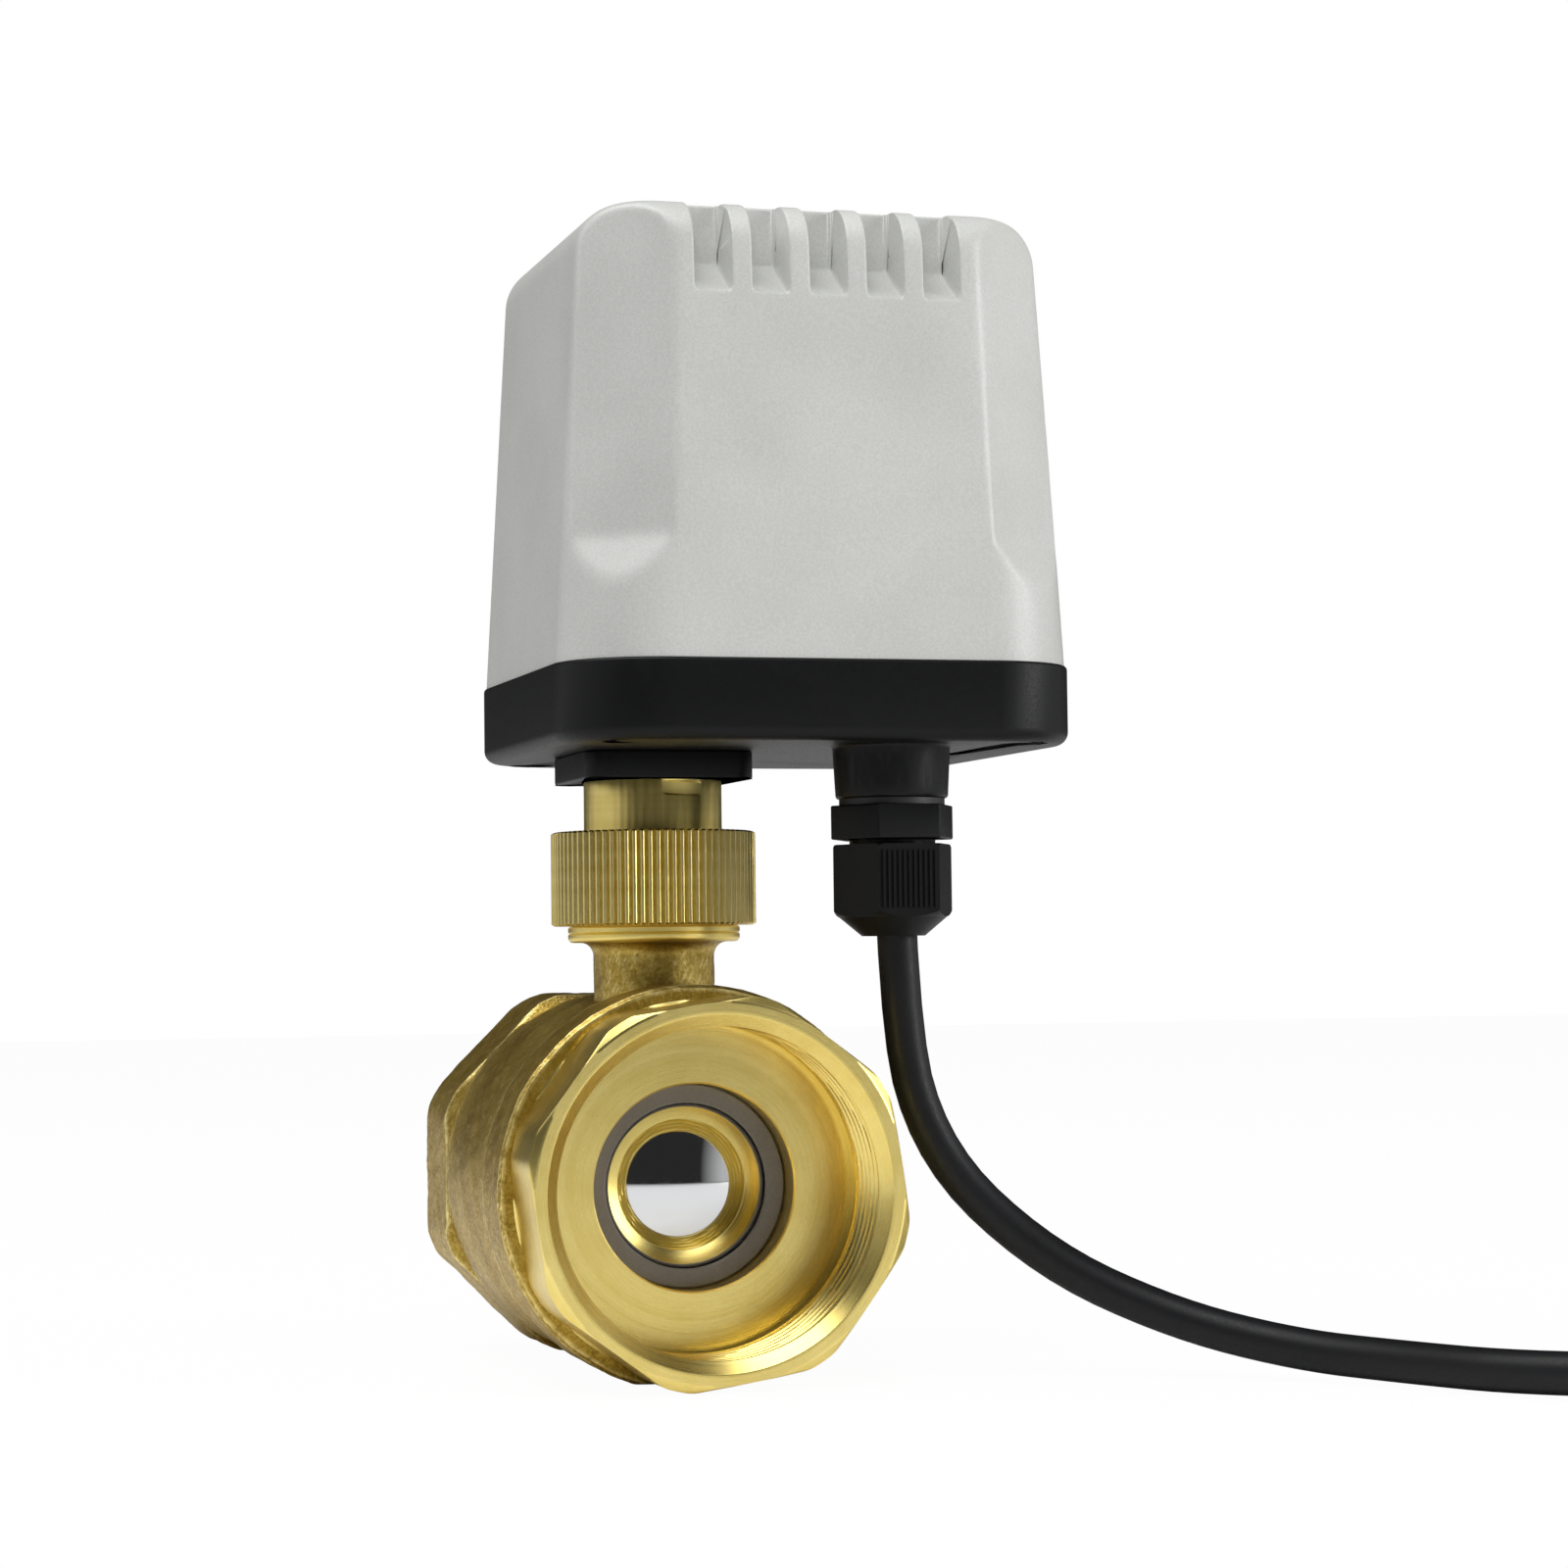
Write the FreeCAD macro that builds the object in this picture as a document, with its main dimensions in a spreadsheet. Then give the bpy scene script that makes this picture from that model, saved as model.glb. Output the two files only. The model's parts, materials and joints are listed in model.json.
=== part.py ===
# Motorized ball valve: a two-piece brass valve with a geared actuator on its union nut.
# Millimetres. The origin is on the table under the ball's centre, +Z up, the front port faces -Y.
import FreeCAD, Part
import math
import os
import re
import Sketcher
from FreeCAD import Placement, Rotation, Vector

doc = FreeCAD.newDocument("motorized_ball_valve")
sheet = doc.addObject("Spreadsheet::Sheet", "sizes")

# Driving dimensions, piece by piece. Heights end in _z and are measured from the table.
dimensions = [
    # ball, seats and the two ports
    ("axis_z", 33.4), ("ball_r", 25), ("ball_port_r", 14.5), ("ball_slot_w", 6.4), ("ball_slot_deep", 5.2),
    ("seat_gap", 0.25), ("seat_rear_r", 21), ("seat_front_r", 17.9), ("seat_bore_r", 14.75),
    ("seat_front_y", 26),
    ("seat_back_y", 22.5), ("seat_step_y", 18), ("seat_inner_y", 15.5), ("seat_mouth_r", 17.1),
    ("seat_lip_y", 21), ("fit_gap", 0.1),
    ("port_r", 28.33), ("port_mouth_r", 30), ("port_deep", 18.5), ("port_mouth_deep", 1.7),
    # brass castings
    ("body_rear_y", 47), ("body_octagon_y", 27), ("body_flats", 66.8), ("corner_r", 35.2),
    ("belly_r", 33.9),
    ("collar_back_y", 14), ("joint_y", 29), ("collar_r", 35.2), ("bead_r", 0.7), ("chamber_r", 26),
    ("waterway_r", 14.5), ("spigot_bore_r", 30.7), ("spigot_end_y", 14.2), ("chamber_front_y", 12.6),
    ("cap_front_y", 45.5), ("cap_flats", 64.6), ("cap_corner_r", 33.4), ("cap_turn", 8.5),
    ("cap_chamfer", 2.2),
    ("cap_floor_y", 27),
    # neck, union nut and collar on the stem axis
    ("neck_r", 11.35), ("neck_foot_z", 58), ("rim_r", 15.5), ("rim_low_z", 75.6), ("rim_top_z", 79.1),
    ("neck_fillet", 3), ("spigot_r", 14.4), ("spigot_top_z", 90), ("nut_r", 18.8), ("nut_low_z", 79.3),
    ("nut_top_z", 96.3), ("nut_lip_z", 93.6), ("nut_gap", 0.3), ("nut_flutes", 80), ("flute_deep", 0.45),
    ("nut_chamfer", 0.8), ("sleeve_r", 12.55), ("sleeve_bore_r", 8), ("sleeve_flange_r", 14),
    ("sleeve_flange_high", 2.6), ("sleeve_tail_r", 10), ("notch_wide", 8.3), ("notch_high", 2.3),
    ("notch_deep", 1.2),
    ("notch_turn", 8),
    ("slip_ring_high", 0.6),
    # stem
    ("stem_r", 6), ("stem_flange_r", 8.5), ("stem_flange_z", 58.9), ("stem_flange_high", 2.8),
    ("tang_long", 12),
    ("washer_high", 1), ("stem_clear", 0.3), ("ring_section", 2.2), ("ring_low_z", 65), ("ring_pitch", 6),
    ("square_flats", 7), ("square_z", 90.6), ("square_long", 12),
    # mount plate and actuator base
    ("plate_side", 31), ("plate_corner", 4), ("plate_low_z", 105.4), ("plate_recess", 1.6),
    ("base_low_z", 110.4),
    ("joint_z", 124.5), ("base_left_x", 25), ("base_right_x", 69), ("base_half_y", 46), ("base_corner", 18),
    ("base_floor", 3), ("base_wall", 3.5), ("base_edge", 2.4), ("gasket_in", 1.1), ("gasket_wide", 1.3),
    ("gasket_deep", 1), ("plate_screw_at", 12.1), ("plate_screw_r", 1.6), ("post_r", 5.4),
    ("post_side_in", 10.8),
    ("post_front_in", 8.3), ("screw_recess_r", 3.6), ("screw_recess_deep", 5), ("screw_r", 1.9),
    # cable gland
    ("gland_x", 36), ("gland_in_y", 16), ("gland_y", "=base_half_y - gland_in_y"), ("boss_low_z", 101),
    ("boss_top_r", 10.5), ("boss_low_r", 9.95),
    ("gland_thread_r", 7.6), ("gland_hex_flats", 19.7), ("gland_hex_top_z", 99.8),
    ("gland_hex_low_z", 93.8),
    ("dome_top_z", 92.9), ("dome_shoulder_z", 80.3), ("dome_low_z", 76.8), ("dome_flats", 19.05),
    ("dome_end_r", 5.6),
    ("dome_ribs", 11), ("rib_high", 0.35), ("cable_r", 3.6), ("cable_clear", 0.3),
    # cover
    ("cover_top_z", 205), ("cover_inset", 0.5), ("cover_draft", 3.3), ("cover_edge", 8),
    ("cover_wall", 2.5),
    ("channel_wide", 18.4), ("channel_deep", 3.4), ("channel_turn", 54), ("shelf_back_z", 146),
    ("shelf_slope", 65),
    ("shelf_run", 8), ("slot_wide", 6.6), ("slot_pitch", 10.4),
    ("slot_count", 5), ("slot_below_top", 16.6), ("slot_deep", 8.8), ("slot_rise", 6), ("slot_mid_x", 22),
    ("slot_low_z", "=cover_top_z - slot_below_top"), ("cover_boss_high", 9), ("plate_sink", 2.4),
    ("bush_r", 8),
    ("seal_top_z", 87), ("locknut_z", 113.45), ("locknut_high", 2.6), ("rib_pitch", 0.95),
    ("cable_top_z", 114.5),
    ("cable_bend_z", 64),
    # gear train and its plates
    ("gear_module", 1), ("wheel_module", 0.8), ("output_teeth", 39), ("pinion_teeth", 12),
    ("wheel_teeth", 46),
    ("backlash", 0.22), ("hole_ring_r", "=output_teeth * gear_module / 3"), ("gear_low_z", 118),
    ("gear_high", 5), ("wheel_z", 125), ("wheel_high", 4), ("shaft_r", 5),
    ("shaft_top_z", 147), ("cam_r", 8.5), ("cam_lobe_r", 10.8), ("cam_z", 137), ("cam_high", 4.5),
    ("pin_r", 2),
    ("lower_plate_z", 115), ("upper_plate_z", 134.5), ("plate_thick", 1.5), ("gear_plate_left", 20),
    ("gear_plate_right", 64), ("gear_plate_y", 24), ("pillar_left_x", -16.5), ("pillar_right_x", 59),
    ("pillar_y", 19.8), ("pillar_r", 3.2),
    # motor, switches and board
    ("motor_r", 23.5), ("motor_can_x", 37.5), ("motor_low_z", 136.05), ("motor_high", 20),
    ("motor_ear_y", 27.9),
    ("switch_z", 136.05), ("switch_thick", 6.4), ("switch_y", 15), ("switch_deep", 10), ("switch_long", 20),
    ("lever_pivot_x", 9), ("plunger_x", 2), ("board_z", 160), ("board_thick", 1.6),
    ("board_post_left", -15.5),
    ("board_post_right", 61), ("board_post_y", 12.4), ("terminal_y", 6), ("lead_in_y", 11.5),
    ("switch_hole_pitch", 9.5),
    ("lead_y", "=base_half_y - lead_in_y"), ("capacitor_x", 50), ("capacitor_y", 8), ("capacitor_r", 6.3),
    ("capacitor_high", "=(cover_top_z - board_z) / 2 - 0.5"), ("relay_side", 15.5), ("relay_long", 19),
    # cable and its put-away coil
    ("core_pitch", 5), ("core_r", 1.1), ("coil_pitch", 8), ("coil_r", 50), ("coil_turns", 3),
    ("coil_start_x", 208), ("coil_start_y", -117.5), ("coil_hook_r", 18), ("tie_wide", 4),
    ("tie_thick", 0.6),
]
for row, (alias, value) in enumerate(dimensions, 1):
    sheet.set("A%d" % row, alias)
    sheet.set("B%d" % row, str(value))
    sheet.setAlias("B%d" % row, alias)
doc.recompute()


def bound(expression):
    # the same expression, with its names read from the sheet
    names = r"\b(?!(?:sin|cos|tan|sqrt|min|max|abs)\b)[a-z]\w*"
    return re.sub(names, lambda found: "sizes." + found.group(0), str(expression))


def num(expression):
    value = sheet.evalExpression(bound(expression))
    return float(getattr(value, "Value", value))


def bind(thing, **expressions):
    # sets each property from an expression of the sheet; x, y and z place the thing
    places = {"x": "Placement.Base.x", "y": "Placement.Base.y", "z": "Placement.Base.z"}
    for name, expression in expressions.items():
        thing.setExpression(places.get(name, name), bound(expression))
    return thing


def add(kind, name):
    thing = doc.addObject(kind, name)
    thing.Label = name
    return thing


axes = {"z": Rotation(), "x": Rotation(Vector(0, 1, 0), 90), "y": Rotation(Vector(1, 0, 0), -90)}


def cylinder(name, radius, height, x=0, y=0, z=0, along="z"):
    rod = add("Part::Cylinder", name)
    rod.Placement = Placement(Vector(), axes[along])
    return bind(rod, Radius=radius, Height=height, x=x, y=y, z=z)


def block(name, wide, deep, high, x=0, y=0, z=0):
    # x and y are the middle, z the underside
    brick = add("Part::Box", name)
    return bind(brick, Length=wide, Width=deep, Height=high, x="%s - (%s) / 2" % (x, wide),
                y="%s - (%s) / 2" % (y, deep), z=z)


def prism(name, sides, across_flats, height, x=0, y=0, z=0, turn=0, along="z"):
    nut = add("Part::Prism", name)
    nut.Polygon = sides
    nut.Placement = Placement(Vector(), axes[along].multiply(Rotation(Vector(0, 0, 1), num(turn))))
    return bind(nut, Circumradius="(%s) / 2 / cos(180 / %d)" % (across_flats, sides), Height=height, x=x,
        y=y, z=z)


def cut(name, base, *tools):
    # the base less every tool
    piece = add("Part::Cut", name)
    piece.Base = base
    piece.Tool = tools[0] if len(tools) == 1 else fuse(name + "_tools", *tools)
    return piece


def fuse(name, *things):
    piece = add("Part::MultiFuse", name)
    piece.Shapes = list(things)
    return piece


def common(name, *things):
    piece = add("Part::MultiCommon", name)
    piece.Shapes = list(things)
    return piece


def group(name, *things):
    # separate solids that share one node
    piece = add("Part::Compound", name)
    piece.Links = list(things)
    return piece


def shaped(name, shape):
    piece = add("Part::Feature", name)
    piece.Shape = shape
    return piece


def arc_through(start, end, radius):
    # the shorter arc from start to end; a positive radius has its centre on the left
    chord = end - start
    side = Vector(-chord.y, chord.x, 0).normalize()
    lift = math.sqrt(max(radius ** 2 - chord.Length ** 2 / 4, 0))
    centre = (start + end) / 2 + side * math.copysign(lift, radius)
    return Part.Arc(start, centre - side * radius, end)


def outline(body, role, corners, name="outline"):
    # a closed sketch on one of the body's origin planes; a third entry makes the next edge an arc
    sketch = body.newObject("Sketcher::SketchObject", name)
    plane = next(flat for flat in body.Origin.OriginFeatures if flat.Role == role)
    sketch.AttachmentSupport = (plane, [""])
    sketch.MapMode = "FlatFace"
    points = [Vector(num(corner[0]), num(corner[1]), 0) for corner in corners]
    edges = []
    for index, corner in enumerate(corners):
        start, end = points[index], points[(index + 1) % len(points)]
        edge = arc_through(start, end, num(corner[2])) if len(corner) > 2 else Part.LineSegment(start, end)
        number = sketch.addGeometry(edge, False)
        swapped = not sketch.getPoint(number, 1).isEqual(start, 1e-6)
        edges.append((number, 2 if swapped else 1, 1 if swapped else 2))
    for index, corner in enumerate(corners):
        number, first, last = edges[index]
        after, after_first, _ = edges[(index + 1) % len(edges)]
        sketch.addConstraint(Sketcher.Constraint("Coincident", number, last, after, after_first))
        for kind, place in zip(("DistanceX", "DistanceY"), corner):
            rule = sketch.addConstraint(Sketcher.Constraint(kind, -1, 1, number, first, num(place)))
            sketch.setExpression("Constraints[%d]" % rule, bound(place))
        if len(corner) > 2:
            rule = sketch.addConstraint(Sketcher.Constraint("Radius", number, abs(num(corner[2]))))
            sketch.setExpression("Constraints[%d]" % rule, "abs(%s)" % bound(corner[2]))
    return sketch


def turned(name, corners, about="z", x=0, y=0, z=0):
    # a piece turned about the vertical axis, or about the port axis when about is "y"
    body = add("PartDesign::Body", name)
    sketch = outline(body, "XZ_Plane" if about == "z" else "XY_Plane", corners)
    spin = body.newObject("PartDesign::Revolution", "turning")
    spin.Profile = sketch
    spin.ReferenceAxis = (sketch, ["V_Axis"])
    spin.Angle = 360
    return bind(body, x=x, y=y, z=z)


def plate(name, corners, height, x=0, y=0, z=0, draft=0):
    # a flat outline padded upwards, drawn in by the draft angle
    body = add("PartDesign::Body", name)
    pad = body.newObject("PartDesign::Pad", "thickness")
    pad.Profile = outline(body, "XY_Plane", corners)
    bind(pad, Length=height)
    if draft:
        pad.setExpression("TaperAngle", bound("0 - (%s)" % draft))
    return bind(body, x=x, y=y, z=z)


def round_level(body, radius, level):
    # rounds the edges of a padded body that lie flat at one height above its own foot
    doc.recompute()
    pad, height = body.Tip, num(level)
    flat = ["Edge%d" % number for number, edge in enumerate(pad.Shape.Edges, 1)
            if max(abs(edge.BoundBox.ZMin - height), abs(edge.BoundBox.ZMax - height)) < 0.01]
    rounding = body.newObject("PartDesign::Fillet", "round_edge")
    rounding.Base = (pad, flat)
    return bind(rounding, Radius=radius)


def rounded(left, right, front, back, corner):
    # a rectangle with round corners, as outline corners; all five are expressions
    return [("(%s) + (%s)" % (left, corner), front), ("(%s) - (%s)" % (right, corner), front, corner),
            (right, "(%s) + (%s)" % (front, corner)), (right, "(%s) - (%s)" % (back, corner), corner),
            ("(%s) - (%s)" % (right, corner), back), ("(%s) + (%s)" % (left, corner), back, corner),
            (left, "(%s) - (%s)" % (back, corner)), (left, "(%s) + (%s)" % (front, corner), corner)]


# Brass castings: the body and its screwed-in end cap
ball_face = "(ball_r + seat_gap)"


def octagon_blank(name, flats, turn, y_low, length):
    return prism(name, 8, flats, length, y=y_low, z="axis_z", turn=turn, along="y")


def valve_body():
    rear_turned = turned("rear_turned", [
        (0, "body_octagon_y"), ("corner_r - cap_chamfer", "body_octagon_y"),
        ("corner_r", "body_octagon_y + cap_chamfer / 2"), ("corner_r", "body_rear_y - cap_chamfer / 2"),
        ("corner_r - cap_chamfer", "body_rear_y"), (0, "body_rear_y")], about="y", z="axis_z")
    rear = common("rear_octagon", rear_turned, octagon_blank(
        "rear_flats", "body_flats", 22.5, "body_octagon_y - 1", "body_rear_y - body_octagon_y + 2"))
    belly = turned("belly", [
        (0, "0 - joint_y"), ("collar_r - 0.4", "0 - joint_y"), ("collar_r + 0.1", "bead_r - joint_y"),
        ("collar_r", "2 * bead_r - joint_y"), ("collar_r", "0 - collar_back_y - 1.5"),
        ("belly_r - 0.3", "0 - collar_back_y + 1.5"), ("belly_r", "0 - collar_back_y + 6"),
        ("belly_r + 0.4", 6), ("belly_r", "body_octagon_y - 6"), ("belly_r - 0.3", "body_octagon_y + 0.5"),
        (0, "body_octagon_y + 0.5")], about="y", z="axis_z")
    neck = turned("neck", [
        (0, "neck_foot_z"), ("neck_r + 6", "neck_foot_z"), ("neck_r + 1.2", "axis_z + belly_r - 1.5"),
        ("neck_r", "axis_z + belly_r + 1.5"), ("neck_r", "rim_low_z - neck_fillet",
            "0 - neck_fillet * 1.25"),
        ("neck_r + neck_fillet", "rim_low_z"), ("rim_r - 0.6", "rim_low_z"), ("rim_r", "rim_low_z + 0.6"),
        ("rim_r", "rim_top_z - 0.5"), ("rim_r - 0.4", "rim_top_z"), ("spigot_r", "rim_top_z"),
        ("spigot_r", "spigot_top_z - 1"), ("spigot_r - 1", "spigot_top_z"), (0, "spigot_top_z")])
    chamber = turned("chamber", [
        (0, "0 - joint_y - 1"), ("spigot_bore_r", "0 - joint_y - 1"),
        ("spigot_bore_r", "0 - chamber_front_y"),
        ("chamber_r", "0 - chamber_front_y"), ("chamber_r", "seat_inner_y"),
        ("seat_rear_r + fit_gap", "seat_inner_y"), ("seat_rear_r + fit_gap", "seat_back_y + fit_gap"),
        ("waterway_r", "seat_back_y + fit_gap"), ("waterway_r", "body_rear_y - port_deep"),
        ("port_r", "body_rear_y - port_deep"), ("port_r", "body_rear_y - port_mouth_deep"),
        ("port_mouth_r", "body_rear_y"), ("port_mouth_r", "body_rear_y + 1"), (0, "body_rear_y + 1")],
        about="y", z="axis_z")
    stem_bore = turned("stem_bore", [
        (0, "axis_z"), ("stem_flange_r + stem_clear * 2", "axis_z"),
        ("stem_flange_r + stem_clear * 2", "stem_flange_z + stem_flange_high + washer_high + 0.2"),
        ("stem_r + stem_clear", "stem_flange_z + stem_flange_high + washer_high + 0.2"),
        ("stem_r + stem_clear", "spigot_top_z + 1"), (0, "spigot_top_z + 1")])
    under = block("under_body", 200, 200, 20, z=-20)
    return cut("valve_body", fuse("body_casting", rear, belly, neck), chamber, stem_bore, under)


def end_cap():
    blank = turned("cap_turned", [
        (0, "0 - cap_front_y"), ("cap_corner_r - cap_chamfer", "0 - cap_front_y"),
        ("cap_corner_r", "0 - cap_front_y + cap_chamfer * tan(30)"), ("cap_corner_r", "0 - joint_y - 1.2"),
        ("cap_corner_r - 1.2", "0 - joint_y"), (0, "0 - joint_y")], about="y", z="axis_z")
    wrench_part = common("cap_octagon", blank, octagon_blank(
        "cap_flats_blank", "cap_flats", "0 - cap_turn", "0 - cap_front_y - 1", "cap_front_y - joint_y + 2"))
    spigot = turned("cap_spigot", [
        (0, "0 - joint_y - 1"), ("spigot_bore_r - fit_gap", "0 - joint_y - 1"),
        ("spigot_bore_r - fit_gap", "0 - spigot_end_y - 1"), ("spigot_bore_r - 1.1", "0 - spigot_end_y"),
        (0, "0 - spigot_end_y")], about="y", z="axis_z")
    bore = turned("cap_bore", [
        (0, "0 - cap_front_y - 1"), ("port_mouth_r", "0 - cap_front_y - 1"),
        ("port_mouth_r", "0 - cap_front_y"),
        ("port_r", "port_mouth_deep - cap_front_y"), ("port_r", "0 - cap_floor_y"),
        ("seat_front_r + fit_gap", "0 - cap_floor_y"), ("seat_front_r + fit_gap", "0 - seat_step_y"),
        ("seat_rear_r + fit_gap", "0 - seat_step_y"), ("seat_rear_r + fit_gap", "1 - spigot_end_y"),
        (0, "1 - spigot_end_y")], about="y", z="axis_z")
    return cut("end_cap", fuse("cap_casting", wrench_part, spigot), bore)


# Ball, its two seats and the body seal
def ball():
    sphere = bind(add("Part::Sphere", "ball_sphere"), Radius="ball_r", z="axis_z")
    port = cylinder("ball_port", "ball_port_r", "ball_r * 2 + 2", x="0 - ball_r - 1", z="axis_z", along="x")
    slot = block("ball_slot", "ball_slot_w", "ball_r * 2", "ball_slot_deep + 2",
        z="axis_z + ball_r - ball_slot_deep")
    return cut("ball", sphere, port, slot)


def seats():
    back_r = "(seat_bore_r - 1)"
    turned("seat_front", [
        ("seat_front_r", "0 - seat_front_y"), ("seat_front_r", "fit_gap - seat_step_y"),
        ("seat_rear_r", "fit_gap - seat_step_y"), ("seat_rear_r", "0 - seat_inner_y"),
        ("sqrt(%s^2 - seat_inner_y^2)" % ball_face, "0 - seat_inner_y", "0 - " + ball_face),
        ("seat_bore_r", "0 - sqrt(%s^2 - seat_bore_r^2)" % ball_face), ("seat_bore_r", "0 - seat_lip_y"),
        ("seat_bore_r + 0.6", "0 - seat_lip_y"), ("seat_mouth_r", "0 - seat_front_y")], about="y",
        z="axis_z")
    turned("seat_rear", [
        ("seat_rear_r", "seat_inner_y"), ("seat_rear_r", "seat_back_y"), (back_r, "seat_back_y"),
        (back_r, "sqrt(%s^2 - %s^2)" % (ball_face, back_r), "0 - " + ball_face),
        ("sqrt(%s^2 - seat_inner_y^2)" % ball_face, "seat_inner_y")], about="y", z="axis_z")


def body_seal():
    turned("body_seal", [
        ("seat_rear_r + 1.6", "0.05 - spigot_end_y"), ("spigot_bore_r - 0.3", "0.05 - spigot_end_y"),
        ("spigot_bore_r - 0.3", "0 - chamber_front_y - 0.05"),
        ("seat_rear_r + 1.6", "0 - chamber_front_y - 0.05")], about="y", z="axis_z")


# Stem with its seals, driven from above by a square
def stem():
    groove = "(stem_r - ring_section + 0.35)"
    profile = [(0, "stem_flange_z"), ("stem_flange_r", "stem_flange_z"),
               ("stem_flange_r", "stem_flange_z + stem_flange_high"),
               ("stem_r", "stem_flange_z + stem_flange_high")]
    for ring in range(2):
        low = "ring_low_z + ring_pitch * %d" % ring
        profile += [("stem_r", low), (groove, low), (groove, low + " + ring_section + 0.4"),
                    ("stem_r", low + " + ring_section + 0.4")]
    profile += [("stem_r", "square_z - 0.2"), (0, "square_z - 0.2")]
    shaft = turned("stem_turned", profile)
    tang = block("stem_tang", "ball_slot_w - 0.4", "tang_long",
        "stem_flange_z - axis_z - ball_r + ball_slot_deep",
                 z="axis_z + ball_r - ball_slot_deep + 0.2")
    square = block("stem_square", "square_flats", "square_flats", "square_long + 1", z="square_z - 1")
    fuse("stem", shaft, tang, square)
    turned("stem_thrust_washer", [
        ("stem_r + 0.3", "stem_flange_z + stem_flange_high + 0.1"),
        ("stem_flange_r + 0.3", "stem_flange_z + stem_flange_high + 0.1"),
        ("stem_flange_r + 0.3", "stem_flange_z + stem_flange_high + washer_high + 0.1"),
        ("stem_r + 0.3", "stem_flange_z + stem_flange_high + washer_high + 0.1")])
    rings = []
    for number in range(2):
        ring = add("Part::Torus", "stem_ring_%d" % (number + 1))
        bind(ring, Radius1="stem_r + 0.25 - ring_section / 2 + 0.15", Radius2="ring_section / 2 - 0.15",
             z="ring_low_z + ring_pitch * %d + ring_section / 2 + 0.2" % number)
        rings.append(ring)
    group("stem_o_rings", *rings)


# Union nut over the brass sleeve that carries the actuator
def union_nut():
    blank = turned("nut_turned", [
        ("spigot_r + nut_gap", "nut_low_z"), ("nut_r - nut_chamfer", "nut_low_z"),
        ("nut_r", "nut_low_z + nut_chamfer"), ("nut_r", "nut_top_z - nut_chamfer"),
        ("nut_r - nut_chamfer", "nut_top_z"), ("sleeve_r + nut_gap", "nut_top_z"),
        ("sleeve_r + nut_gap", "nut_lip_z"), ("spigot_r + nut_gap", "nut_lip_z")])
    doc.recompute()
    teeth, root = int(num("nut_flutes")), num("nut_r") - num("flute_deep")
    points = []
    for tooth in range(teeth):
        turn = 2 * math.pi * tooth / teeth
        for share, radius in ((0.0, root), (0.3, num("nut_r") + 0.01), (0.7, num("nut_r") + 0.01)):
            angle = turn + share * 2 * math.pi / teeth
            points.append(Vector(radius * math.cos(angle), radius * math.sin(angle), 0))
    fluted = Part.Face(Part.makePolygon(points + points[:1])).extrude(Vector(0, 0,
        num("nut_top_z - nut_low_z")))
    star = shaped("nut_flutes_shape", fluted)
    bind(star, z="nut_low_z")
    return common("union_nut", blank, star)


def sleeve():
    flange_top = "spigot_top_z + 0.3 + sleeve_flange_high"
    tail_z = "plate_low_z + plate_recess"
    pipe = turned("sleeve_turned", [
        ("sleeve_bore_r", "spigot_top_z + 0.05"), ("sleeve_flange_r", "spigot_top_z + 0.05"),
        ("sleeve_flange_r", flange_top), ("sleeve_r", flange_top), ("sleeve_r", tail_z),
        ("sleeve_tail_r", tail_z), ("sleeve_tail_r", "base_low_z"), ("sleeve_bore_r", "base_low_z")])
    notch = block("sleeve_notch", "notch_wide", "notch_deep * 2", "notch_high",
                  x="0 - sleeve_r * sin(notch_turn)", y="0 - sleeve_r * cos(notch_turn)",
                  z="plate_low_z - notch_high - 0.4")
    notch.Placement.Rotation = Rotation(Vector(0, 0, 1), -num("notch_turn"))
    cut("sleeve", pipe, notch)
    turned("nut_slip_ring", [
        ("sleeve_r + nut_gap", flange_top + " + 0.05"), ("sleeve_flange_r - 0.1", flange_top + " + 0.05"),
        ("sleeve_flange_r - 0.1", flange_top + " + 0.05 + slip_ring_high"),
        ("sleeve_r + nut_gap", flange_top + " + 0.05 + slip_ring_high")])


# Mount plate and actuator base, with the corner posts that the cover screws pass
def corner_places():
    left, right = "(post_side_in - base_left_x)", "(base_right_x - post_side_in)"
    front = "(base_half_y - post_front_in)"
    return [(left, "0 - " + front), (right, "0 - " + front), (left, front), (right, front)]


def plate_screw_places():
    return [(x, y) for x in ("0 - plate_screw_at", "plate_screw_at") for y in ("0 - plate_screw_at",
        "plate_screw_at")]


def base_outline(inset):
    return rounded("%s - base_left_x" % inset, "base_right_x - %s" % inset, "%s - base_half_y" % inset,
                   "base_half_y - %s" % inset, "base_corner - %s" % inset)


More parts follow.
